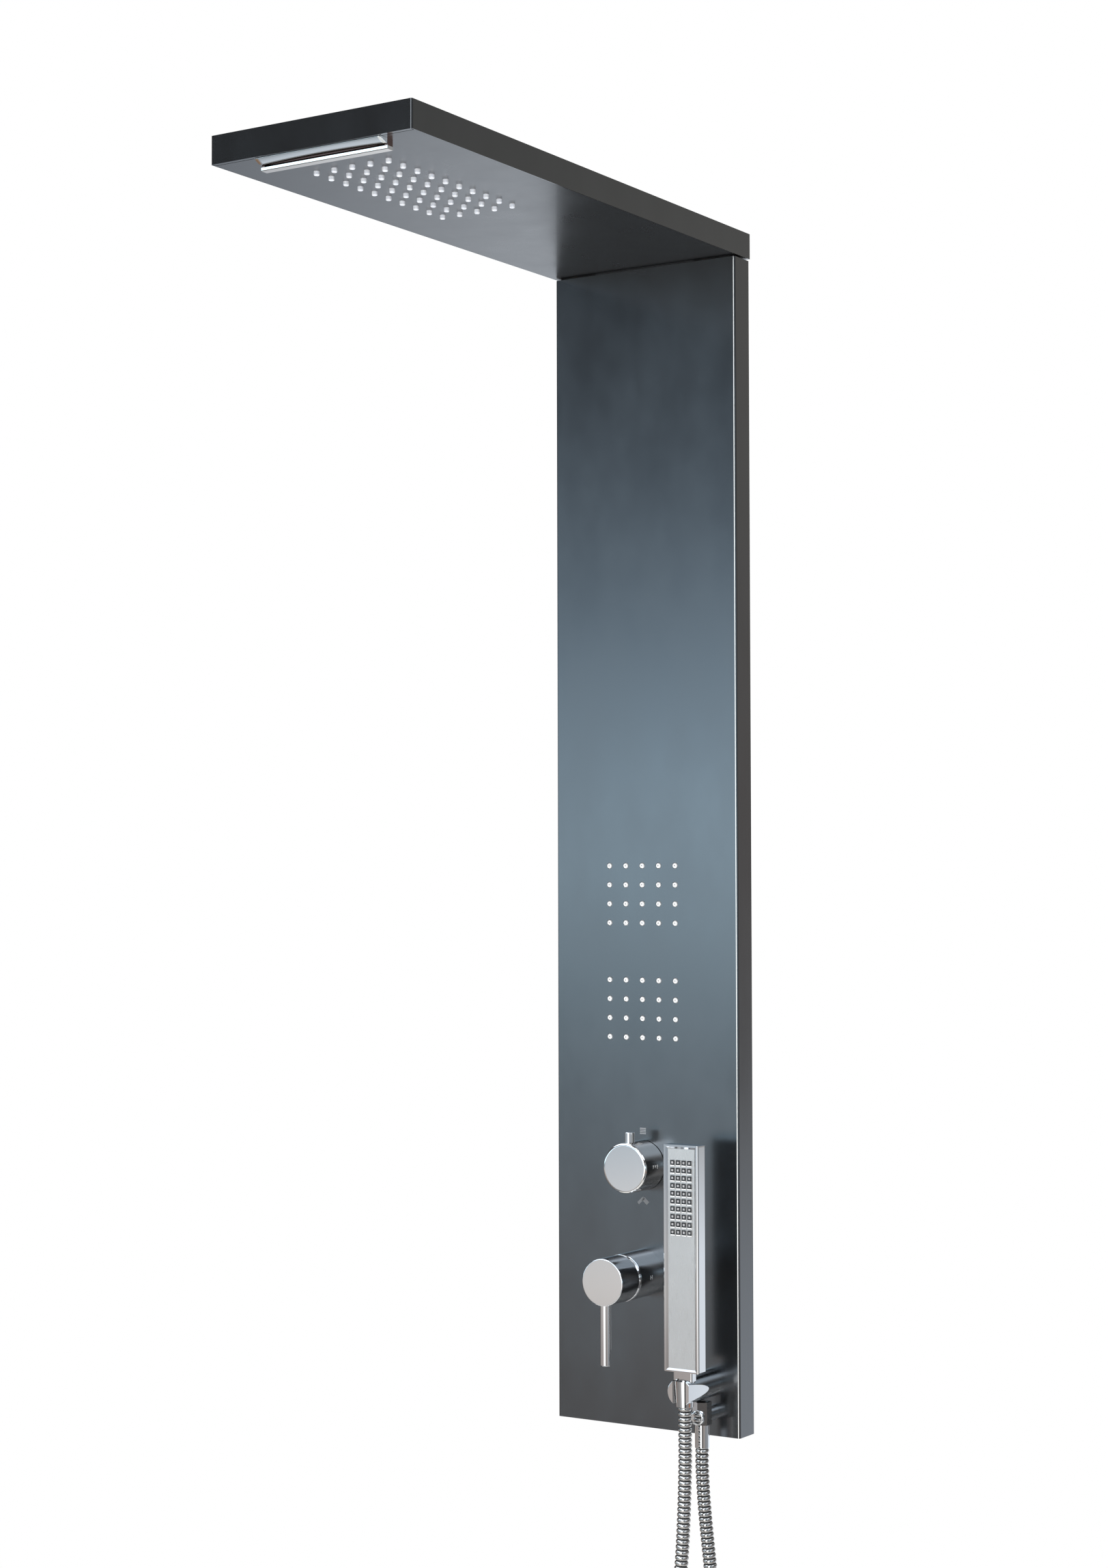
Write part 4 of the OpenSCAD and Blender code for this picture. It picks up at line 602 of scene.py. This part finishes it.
class SHOWER_OT_studio(Operator):
    """Sets the camera, the floor, the lamps and the surroundings"""
    bl_idname = "shower.studio"
    bl_label = "Studio"

    def execute(self, context):
        settings = context.scene.shower_studio
        self.camera(context)
        self.floor(context, COLUMN_FOOT - settings.floor_drop)
        self.lamps(context, settings.lamp_power)
        self.surroundings(context)
        return {"FINISHED"}

    def camera(self, context):
        """Stands the camera at its place and turns it to the column."""
        view = bpy.data.cameras.new("photo_view")
        view.sensor_fit = "VERTICAL"
        view.sensor_height = FILM_HEIGHT
        view.lens = FOCAL_PIXELS / PICTURE_PIXELS * FILM_HEIGHT
        view.clip_end = 60
        camera = bpy.data.objects.new("photo_view", view)
        context.scene.collection.objects.link(camera)
        yaw, pitch, roll = (math.radians(angle) for angle in CAMERA_TURNS)
        ahead = Vector((math.sin(yaw) * math.cos(pitch), math.cos(yaw) * math.cos(pitch), math.sin(pitch)))
        level = Vector((math.cos(yaw), -math.sin(yaw), 0))
        above = level.cross(ahead)
        right = level * math.cos(roll) + above * math.sin(roll)
        up = above * math.cos(roll) - level * math.sin(roll)
        turn = Matrix((right, up, -ahead)).transposed().to_4x4()
        x, y, z = CAMERA_PLACE
        camera.matrix_world = Matrix.Translation((x, y, z + COLUMN_FOOT)) @ turn
        context.scene.camera = camera
        context.scene.view_settings.view_transform = "Standard"

    def floor(self, context, height):
        """Lays a pale floor under the column."""
        cells, half_side, ahead = 24, 1.1, 0.45
        ground = bmesh.new()
        bmesh.ops.create_grid(ground, x_segments=cells, y_segments=cells, size=half_side)
        for v in ground.verts:
            v.co = Vector((v.co.x, v.co.y - ahead, height))
        mesh = bpy.data.meshes.new("floor")
        ground.to_mesh(mesh)
        ground.free()
        surface, tree, shader = new_surface("pale_floor", 0.0, 0.6, (0.8, 0.8, 0.79))
        tint(tree, shader, noise(tree, place(tree), 2.5, 3.0), ((0.77, 0.77, 0.76), (0.82, 0.82, 0.81)))
        mesh.materials.append(surface)
        floor = bpy.data.objects.new("floor", mesh)
        context.scene.collection.objects.link(floor)

    def lamps(self, context, power):
        """Hangs soft square lamps that show neither in the picture nor in the chrome."""
        for name, spot, aim, size, share in LAMPS:
            light = bpy.data.lights.new(name, "AREA")
            light.shape = "SQUARE"
            light.size = size
            light.energy = power * share
            lamp = bpy.data.objects.new(name, light)
            lamp.location = spot
            lamp.rotation_euler = (Vector(aim) - Vector(spot)).to_track_quat("-Z", "Y").to_euler()
            lamp.visible_glossy = False
            lamp.visible_camera = False
            context.scene.collection.objects.link(lamp)

    def surroundings(self, context):
        """White for the camera and for soft light; glossy rays see a studio with a bright band at the horizon,
        darkness over it and a bright ceiling."""
        world = bpy.data.worlds.new("studio")
        context.scene.world = world
        world.use_nodes = True
        tree = world.node_tree
        tree.nodes.clear()
        out = tree.nodes.new("ShaderNodeOutputWorld")
        where = tree.nodes.new("ShaderNodeTexCoord")
        split = tree.nodes.new("ShaderNodeSeparateXYZ")
        paths = tree.nodes.new("ShaderNodeLightPath")
        wire(tree, where.outputs["Generated"], split.inputs["Vector"])
        height = spread(tree, split.outputs["Z"], 0.0, 1.0, -1.0, 1.0)
        across = spread(tree, split.outputs["X"], 0.0, 1.0, -1.0, 1.0)

        def ramp_of(value, stops):
            made = tree.nodes.new("ShaderNodeValToRGB")
            elements = made.color_ramp.elements
            while len(elements) < len(stops):
                elements.new(0.5)
            for element, (position, colour) in zip(elements, stops):
                element.position = position
                element.color = (*colour, 1)
            wire(tree, value, made.inputs["Fac"])
            return made.outputs["Color"]

        def by_height(stops):
            return ramp_of(height, [((sine + 1) / 2, shaded(colour, LIGHT_SCALE)) for sine, colour in stops])

        def by_width(stops):
            return ramp_of(across, [((sine + 1) / 2, (grey, grey, grey)) for sine, grey in stops])

        def background(colour, strength):
            made = tree.nodes.new("ShaderNodeBackground")
            made.inputs["Strength"].default_value = strength
            if isinstance(colour, tuple):
                made.inputs["Color"].default_value = (*colour, 1)
            else:
                wire(tree, colour, made.inputs["Color"])
            return made.outputs["Background"]

        def either(kind_of_ray, otherwise, then):
            made = tree.nodes.new("ShaderNodeMixShader")
            wire(tree, paths.outputs[kind_of_ray], made.inputs["Fac"])
            wire(tree, otherwise, made.inputs[1])
            wire(tree, then, made.inputs[2])
            return made.outputs["Shader"]

        in_front = mixed(tree, 1.0, by_height(FRONT_BY_HEIGHT), by_width(FRONT_BY_WIDTH), "MULTIPLY")
        in_front = mixed(tree, by_width(SCREEN_BY_WIDTH), in_front, by_height(SCREEN_BY_HEIGHT))
        behind = mixed(tree, 1.0, by_height(BEHIND_BY_HEIGHT), ramp_of(across, BEHIND_ACROSS), "MULTIPLY")
        room = mixed(tree, spread(tree, split.outputs["Y"], 0.0, 1.0, *BEHIND_EDGE), in_front, behind)
        room = mixed(tree, by_width(RIGHT_END_BY_WIDTH), room, ramp_of(height, RIGHT_END))

        white = (1.0, 1.0, 1.0)
        light = either("Is Glossy Ray", background(white, FILL_LIGHT), background(room, MIRRORED_LIGHT))
        seen = either("Is Camera Ray", light, background(white, CAMERA_WHITE))
        wire(tree, seen, out.inputs["Surface"])


class SHOWER_OT_folded_steel(Operator):
    """Coats the column, the head and its underplate"""
    bl_idname = "shower.folded_steel"
    bl_label = "Folded steel"

    def execute(self, context):
        settings = context.scene.shower_panel
        colour = tuple(settings.steel)
        dress(["column_cover"], coated_steel("column_coat", colour, settings.steel_roughness, settings.waviness,
                                             tuple(settings.fold)))
        # The head's front lower fold gets a painted highlight
        dress(["head_cover"], coated_steel("head_coat", colour, settings.head_roughness * 0.75, settings.waviness,
                                           HEAD_FOLD_HIGHLIGHT, HEAD_FOLD_WAY))
        dress(["head_underplate"],
              coated_steel("underplate_coat", colour, settings.head_roughness * 1.2, settings.waviness))
        round_edges(["column_cover", "head_cover"], settings.fold_radius)
        return {"FINISHED"}


class SHOWER_OT_spout(Operator):
    """Plates the waterfall spout"""
    bl_idname = "shower.spout"
    bl_label = "Waterfall spout"

    def execute(self, context):
        settings = context.scene.shower_chrome
        chrome = polished_plate("spout_chrome", SPOUT_PLATE, settings.roughness)
        self.crown(chrome.node_tree)
        dress(["waterfall_spout"], chrome)
        round_edges(["waterfall_spout"], settings.edge / 2)
        self.apron(polished_plate("apron_chrome", APRON_PLATE, settings.roughness * 2))
        return {"FINISHED"}

    def apron(self, surface):
        """The sloping plate from the head's front edge down to the slit, arched over its middle."""
        low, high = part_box("waterfall_spout")
        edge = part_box("head_cover")[0]
        setback, gap = 0.003, 0.0001
        front, back, top = edge.y + setback, low.y - gap, edge.z - gap
        columns, rows, arch, belly = 32, 8, 0.001, 0.0005
        shape = bmesh.new()
        loops = []
        for i in range(columns + 1):
            across = i / columns
            foot = low.z + APRON_FOOT + arch * (1 - (2 * across - 1) ** 2)
            x = low.x + (high.x - low.x) * across
            loop = [(x, back, top)]
            for j in range(rows + 1):
                share = j / rows
                bulge = belly * 4 * share * (1 - share)
                y = front + (back - front) * share - bulge / 3
                loop.append((x, y, top - gap - (top - foot) * share - bulge))
            loops.append([shape.verts.new(point) for point in loop])
        for near, far in zip(loops, loops[1:]):
            for j in range(len(near)):
                n = (j + 1) % len(near)
                shape.faces.new((near[j], near[n], far[n], far[j])).smooth = 0 < j < rows + 1
        shape.faces.new(loops[0])
        shape.faces.new(loops[-1][::-1])
        bmesh.ops.recalc_face_normals(shape, faces=shape.faces)
        mesh = bpy.data.meshes.new("spout_apron")
        shape.to_mesh(mesh)
        shape.free()
        new_piece("spout_apron", mesh, surface, "column")

    def crown(self, tree):
        """Leans the shading of the flat front as if it were slightly crowned, and paints shade on it inside the
        slit.
        """
        low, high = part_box("waterfall_spout")
        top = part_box("head_cover")[0].z
        where = tree.nodes.new("ShaderNodeTexCoord")
        lean = tree.nodes.new("ShaderNodeSeparateXYZ")
        spot = tree.nodes.new("ShaderNodeSeparateXYZ")
        wire(tree, where.outputs["Normal"], lean.inputs["Vector"])
        wire(tree, where.outputs["Object"], spot.inputs["Vector"])
        crowned = tree.nodes.new("ShaderNodeCombineXYZ")
        wire(tree, lean.outputs["X"], crowned.inputs["X"])
        wire(tree, lean.outputs["Y"], crowned.inputs["Y"])
        tip = tree.nodes.new("ShaderNodeMath")
        tip.operation = "ADD"
        wire(tree, spread(tree, spot.outputs["Z"], LIP_LEAN, FOOT_LEAN, low.z + LIP_TOP, low.z + APRON_FOOT),
             tip.inputs[0])
        wire(tree, spread(tree, spot.outputs["Z"], 0.0, TOP_LEAN, low.z + APRON_FOOT, top), tip.inputs[1])
        wire(tree, tip.outputs["Value"], crowned.inputs["Z"])
        chosen = tree.nodes.new("ShaderNodeMix")
        chosen.data_type = "VECTOR"
        on_front, aside = -0.96, -0.9
        wire(tree, spread(tree, lean.outputs["Y"], 1.0, 0.0, on_front, aside), chosen.inputs["Factor"])
        wire(tree, where.outputs["Normal"], chosen.inputs["A"])
        wire(tree, crowned.outputs["Vector"], chosen.inputs["B"])
        level = tree.nodes.new("ShaderNodeVectorMath")
        level.operation = "NORMALIZE"
        wire(tree, chosen.outputs["Result"], level.inputs[0])
        bump = next(node for node in tree.nodes if node.type == "BUMP")
        wire(tree, level.outputs["Vector"], bump.inputs["Normal"])
        shader = tree.nodes["Principled BSDF"]
        plain = shader.inputs["Base Color"].links[0].from_socket
        # Painted shade: the front darkens inside the slit
        inside = spread(tree, spot.outputs["Z"], 0.0, 1.0, low.z + SHADE_START, low.z + SHADE_FULL)
        wire(tree, mixed(tree, inside, plain, SLIT_SHADE), shader.inputs["Base Color"])


class SHOWER_OT_nozzles(Operator):
    """Colours the silicone nozzles of the head and of the body jets"""
    bl_idname = "shower.nozzles"
    bl_label = "Silicone nozzles"

    def execute(self, context):
        dress(["rain_nozzles"], soft_silicone("rain_silicone", RAIN_SILICONE, 0.35))
        dress(["upper_jet_nozzles", "lower_jet_nozzles"], soft_silicone("jet_silicone", JET_SILICONE, 0.4))
        dress(["rain_chamber", "waterfall_chamber", "upper_jet_chamber", "lower_jet_chamber"],
              moulded_plastic("chamber_plastic", CHAMBER_PLASTIC, 0.45))
        return {"FINISHED"}


class SHOWER_OT_controls(Operator):
    """Plates the diverter knob and the mixer"""
    bl_idname = "shower.controls"
    bl_label = "Knob and mixer"

    def execute(self, context):
        settings = context.scene.shower_chrome
        chrome = polished_plate("control_chrome", tuple(settings.plate), settings.roughness)
        dress(["mixer_sleeve", "mixer_dome", "mixer_handle", "mixer_lever"], chrome)
        dress(["diverter_knob", "diverter_pin"], polished_plate("knob_chrome", KNOB_PLATE, settings.roughness))
        round_edges(["diverter_knob", "mixer_sleeve", "mixer_handle"], settings.edge)
        dress(["mixer_grub_screw", "diverter_grub_screw"], zinc_plate("black_screw", BLACK_SCREW))
        return {"FINISHED"}


class SHOWER_OT_valves(Operator):
    """Gives the valve bodies, their cartridges and nuts their metals"""
    bl_idname = "shower.valves"
    bl_label = "Valves behind the column"

    def execute(self, context):
        dress(["mixer_valve_body", "mixer_panel_nut", "mixer_stem", "mixer_cap_nut", "diverter_body",
               "diverter_panel_nut", "diverter_stem", "link_pipe", "supply_nuts", "riser_elbows", "outlet_banjo"],
              turned_brass("turned_brass", BRASS))
        dress(["mixer_cartridge", "mixer_rotor", "diverter_cartridge"],
              moulded_plastic("cartridge_plastic", CARTRIDGE_PLASTIC, 0.35))
        return {"FINISHED"}


class SHOWER_OT_pipework(Operator):
    """Colours the water pipes and the braided supply hoses"""
    bl_idname = "shower.pipework"
    bl_label = "Pipework"

    def execute(self, context):
        dress(["jet_feed_pipe", "jet_link_pipe", "rain_riser", "waterfall_riser", "rain_head_pipe",
               "waterfall_head_pipe", "handset_feed_pipe"],
              moulded_plastic("pipe_plastic", PIPE_PLASTIC, 0.32, 0.00001))
        dress(["supply_hoses"], steel_braid("supply_braid", BRAID))
        return {"FINISHED"}


class SHOWER_OT_hangers(Operator):
    """Finishes the wall brackets, the rails, the head's bracket and the fixings"""
    bl_idname = "shower.hangers"
    bl_label = "Brackets and fixings"

    def execute(self, context):
        sheet_edge = 0.0002
        sheets = ["upper_hook_rail", "lower_hook_rail", "upper_wall_bracket", "lower_wall_bracket"]
        fixings = ["bracket_nuts", "outlet_lock_nut", "holder_screw", "mixer_pivot_pin"]
        # Painted shade: the bracket and gaskets seen through the seam are nearly black
        dress(["head_bracket"], moulded_plastic("bracket_seam_shade", BLACK_SEAM_SHADE, 0.4, 0.000008))
        dress(sheets + fixings, zinc_plate("zinc_steel", ZINC))
        dress(["seam_gaskets"], moulded_plastic("seam_foam", SEAM_SHADE, 0.8, 0.00008))
        round_edges(["head_bracket", *sheets], sheet_edge)
        return {"FINISHED"}


class SHOWER_OT_handset(Operator):
    """Finishes the bar handset, its face and its nozzles"""
    bl_idname = "shower.handset"
    bl_label = "Handset"

    def execute(self, context):
        settings = context.scene.shower_chrome
        chrome = polished_plate("handset_chrome", shaded(settings.plate, 0.86), settings.roughness)
        dress(["handset_shell", "handset_neck", "hose_cone_nut"], chrome)
        dress(["handset_face"], satin_plate("handset_satin", tuple(settings.satin)))
        dress(["handset_nozzles"], soft_silicone("handset_silicone", HANDSET_SILICONE, 0.35))
        self.nozzle_frames()
        round_edges(["handset_shell", "handset_neck"], settings.edge)
        return {"FINISHED"}

    def nozzle_frames(self):
        """Painted shade in the square groove, the pale tip and a painted highlight on the lower rim of each handset
        nozzle.
        """
        low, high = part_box("handset_nozzles")
        columns, rows, pitch_x, pitch_z, side = 4, 10, 0.0066, 0.0078, 0.0042
        wide, thick, tip = side * 1.16, side * 0.33, side * 0.4
        rim_aside, rim_below, rim_height = side * 0.05, side * 0.75, side * 0.2
        reach = (wide - thick) / 2
        middle_x, middle_z = (low.x + high.x) / 2, (low.z + high.z) / 2
        frames, tips, rim_highlights = [], [], []
        for c in range(columns):
            for r in range(rows):
                x, z = middle_x + (c - (columns - 1) / 2) * pitch_x, middle_z + (r - (rows - 1) / 2) * pitch_z
                frames += [bar(x, z + reach, wide, thick), bar(x, z - reach, wide, thick),
                           bar(x - reach, z, thick, wide - 2 * thick), bar(x + reach, z, thick, wide - 2 * thick)]
                tips.append(bar(x, z, tip, tip))
                rim_highlights.append(bar(x + rim_aside, z - rim_below, wide, rim_height))

        def on_face(u, v, out):
            return (u, low.y - out, v)

        # The groove's dark square is painted shade and the rim's white bar is a painted highlight
        for name, outlines, colour, height in (("nozzle_groove_shade", frames, NOZZLE_GROOVE_SHADE, 0.00006),
                                               ("nozzle_tips", tips, NOZZLE_TIP, 0.00012),
                                               ("nozzle_rim_highlights", rim_highlights, NOZZLE_RIM_HIGHLIGHT, 0.00008)):
            surface = soft_silicone(name, colour, 0.35)
            new_piece(name, flat_mark(name, outlines, height, on_face), surface, "handset")


class SHOWER_OT_holder(Operator):
    """Plates the holder, the outlet and the hose's ferrule"""
    bl_idname = "shower.holder"
    bl_label = "Holder and outlet"

    def execute(self, context):
        settings = context.scene.shower_chrome
        dress(["holder_arm", "hose_ferrule"],
              polished_plate("holder_chrome", tuple(settings.plate), settings.roughness))
        dress(["outlet_elbow"], polished_plate("outlet_chrome", tuple(settings.plate), settings.roughness * 2))
        round_edges(["holder_arm", "outlet_elbow"], settings.edge)
        return {"FINISHED"}


class SHOWER_OT_hose(Operator):
    """Builds the ribbed metal hose from the handset's nut round to the outlet"""
    bl_idname = "shower.hose"
    bl_label = "Ribbed hose"

    def execute(self, context):
        settings = context.scene.shower_hose
        at, length = along(hose_line())
        radius, groove, sides = settings.outer / 2, settings.groove, settings.sides
        pitch = length / settings.ribs
        stations = [(rib * pitch + part * pitch, radius - deep * groove)
                    for rib in range(settings.ribs) for part, deep in RIB_PROFILE]
        stations.append((length, radius - groove))
        shape = bmesh.new()
        rings = []
        step = 0.001
        turns = [2 * math.pi * k / sides for k in range(sides)]
        for reach, r in stations:
            middle = at(reach)
            way = (at(reach + step) - at(reach - step)).normalized()
            across = (HOSE_NORMAL - way * HOSE_NORMAL.dot(way)).normalized()
            aside = way.cross(across)
            rings.append([shape.verts.new(middle + across * r * math.cos(turn) + aside * r * math.sin(turn))
                          for turn in turns])
        for near, far in zip(rings, rings[1:]):
            for k in range(sides):
                n = (k + 1) % sides
                shape.faces.new((near[k], near[n], far[n], far[k]))
        shape.faces.new(rings[0][::-1])
        shape.faces.new(rings[-1])
        bmesh.ops.recalc_face_normals(shape, faces=shape.faces)
        for face in shape.faces:
            face.smooth = len(face.verts) == 4
        mesh = bpy.data.meshes.new("ribbed_hose")
        shape.to_mesh(mesh)
        shape.free()
        surface, dark = ribbed_chrome("hose_chrome", HOSE_PLATE), groove_shade("hose_groove_shade", HOSE_GROOVE_SHADE)
        hose = new_piece("ribbed_hose", mesh, surface, None)
        mesh.materials.append(dark)
        parts = len(RIB_PROFILE)
        # Painted shade: the faces at the bottom of each groove get the nearly black surface
        for face in mesh.polygons:
            ring = face.index // sides
            if face.index < sides * (len(rings) - 1) and ring % parts in (0, parts - 2, parts - 1):
                face.material_index = 1
        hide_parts("shower_hose")
        foot = Vector((0, 0, COLUMN_FOOT))
        toward = BLEND_WAY
        start = BLEND_FROM + foot
        end = BLEND_TO + foot
        reach = (end - start).dot(toward) / toward.length_squared
        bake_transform(hose)
        points = 400
        path = [at(length * i / points) for i in range(points, -1, -1)]
        tuple(path[0])
        [tuple(p) for p in path]
        return {"FINISHED"}


class SHOWER_OT_marks(Operator):
    """Prints the diverter's four marks on the column and the hot and cold marks on the mixer's sleeve"""
    bl_idname = "shower.marks"
    bl_label = "Printed marks"

    def execute(self, context):
        settings = context.scene.shower_marks
        surface = printed_ink("mark_ink", tuple(settings.ink))
        nut_low, nut_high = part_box("diverter_panel_nut")
        knob_x, knob_z = (nut_low.x + nut_high.x) / 2, (nut_low.z + nut_high.z) / 2
        reach = settings.reach
        # Four lines above the knob, a chevron below it, nine dots right and three bars left of it
        top = [bar(0, reach + (i * 1.75 - 4.1) * MM, 7.2 * MM, 1.15 * MM) for i in range(4)]
        low = [bar(-2.6 * MM, -reach, 9.6 * MM, 3.0 * MM, math.radians(42)),
               bar(3.0 * MM, -reach - 0.4 * MM, 7.4 * MM, 4.4 * MM, math.radians(-42))]
        right = [dot(reach + (c * 2.4 - 2.4) * MM, (r * 2.4 - 2.4) * MM, 0.75 * MM)
                 for c in range(3) for r in range(3)]
        left = [bar(-reach + (i * 2.6 - 2.6) * MM, 0, 1.1 * MM, 7.0 * MM) for i in range(3)]

        def on_column(u, v, out):
            return (knob_x + u, COLUMN_FRONT - out, knob_z + v)

        faint = printed_ink("faint_ink", shaded(settings.ink, 0.4))
        for name, outlines, ink in (("jets_mark", top, surface), ("handset_mark", low, faint),
                                    ("rain_mark", right, surface), ("waterfall_mark", left, surface)):
            new_piece(name, flat_mark(name, outlines, settings.thickness, on_column), ink, "column")

        sleeve_x, sleeve_z = (SLEEVE_LOW.x + SLEEVE_HIGH.x) / 2, (SLEEVE_LOW.z + SLEEVE_HIGH.z) / 2
        radius = (SLEEVE_HIGH.x - SLEEVE_LOW.x) / 2
        from_front = 0.45
        middle = SLEEVE_LOW.y + from_front * (SLEEVE_HIGH.y - SLEEVE_LOW.y)

        def on_sleeve(side):
            def lift(u, v, out):
                angle = v / radius
                r = radius + out
                return (sleeve_x + side * r * math.cos(angle), middle - side * -u, sleeve_z + r * math.sin(angle))
            return lift

        # An H on the hot side, and on the cold side a C of short pieces
        hot = [bar(-1.7 * MM, 0, 0.9 * MM, 4.2 * MM), bar(1.7 * MM, 0, 0.9 * MM, 4.2 * MM),
               bar(0, 0, 2.5 * MM, 0.9 * MM)]
        turns = [math.radians(a) for a in range(50, 311, 26)]
        cold = [[(r * math.cos(a) * MM, r * math.sin(a) * MM) for r, a in ((2.2, p), (2.2, q), (1.3, q), (1.3, p))]
                for p, q in zip(turns, turns[1:])]
        for name, outlines, side in (("hot_mark", hot, 1), ("cold_mark", cold, -1)):
            new_piece(name, flat_mark(name, outlines, settings.thickness, on_sleeve(side)), surface, "column")
        return {"FINISHED"}


class SHOWER_PT_column(Panel):
    """Lists the finishing steps and their settings"""
    bl_idname = "SHOWER_PT_column"
    bl_label = "Shower Panel Column"
    bl_space_type = "VIEW_3D"
    bl_region_type = "UI"
    bl_category = "Shower Panel"

    def draw(self, context):
        for step in STEPS:
            self.layout.operator(step.bl_idname)
        for holder, kind in HOLDERS.items():
            box = self.layout.box()
            for key in kind.__annotations__:
                box.prop(getattr(context.scene, holder), key)


STEPS = (
    SHOWER_OT_studio, SHOWER_OT_folded_steel, SHOWER_OT_spout, SHOWER_OT_nozzles, SHOWER_OT_controls,
    SHOWER_OT_valves, SHOWER_OT_pipework, SHOWER_OT_hangers, SHOWER_OT_handset, SHOWER_OT_holder,
    SHOWER_OT_hose, SHOWER_OT_marks,
)
HOLDERS = {
    "shower_panel": PanelFinish, "shower_chrome": ChromeFinish, "shower_hose": HoseShape,
    "shower_marks": PrintedMarks, "shower_studio": StudioSet,
}


def register():
    for kind in (*HOLDERS.values(), *STEPS, SHOWER_PT_column):
        bpy.utils.register_class(kind)
    for holder, kind in HOLDERS.items():
        setattr(bpy.types.Scene, holder, PointerProperty(type=kind))


def unregister():
    for holder in HOLDERS:
        delattr(bpy.types.Scene, holder)
    for kind in (SHOWER_PT_column, *reversed(STEPS), *HOLDERS.values()):
        bpy.utils.unregister_class(kind)


def main():
    register()
    for step in STEPS:
        group, name = step.bl_idname.split(".")
        getattr(getattr(bpy.ops, group), name)()
    bpy.context.view_layer.update()


if __name__ == "__main__":
    main()
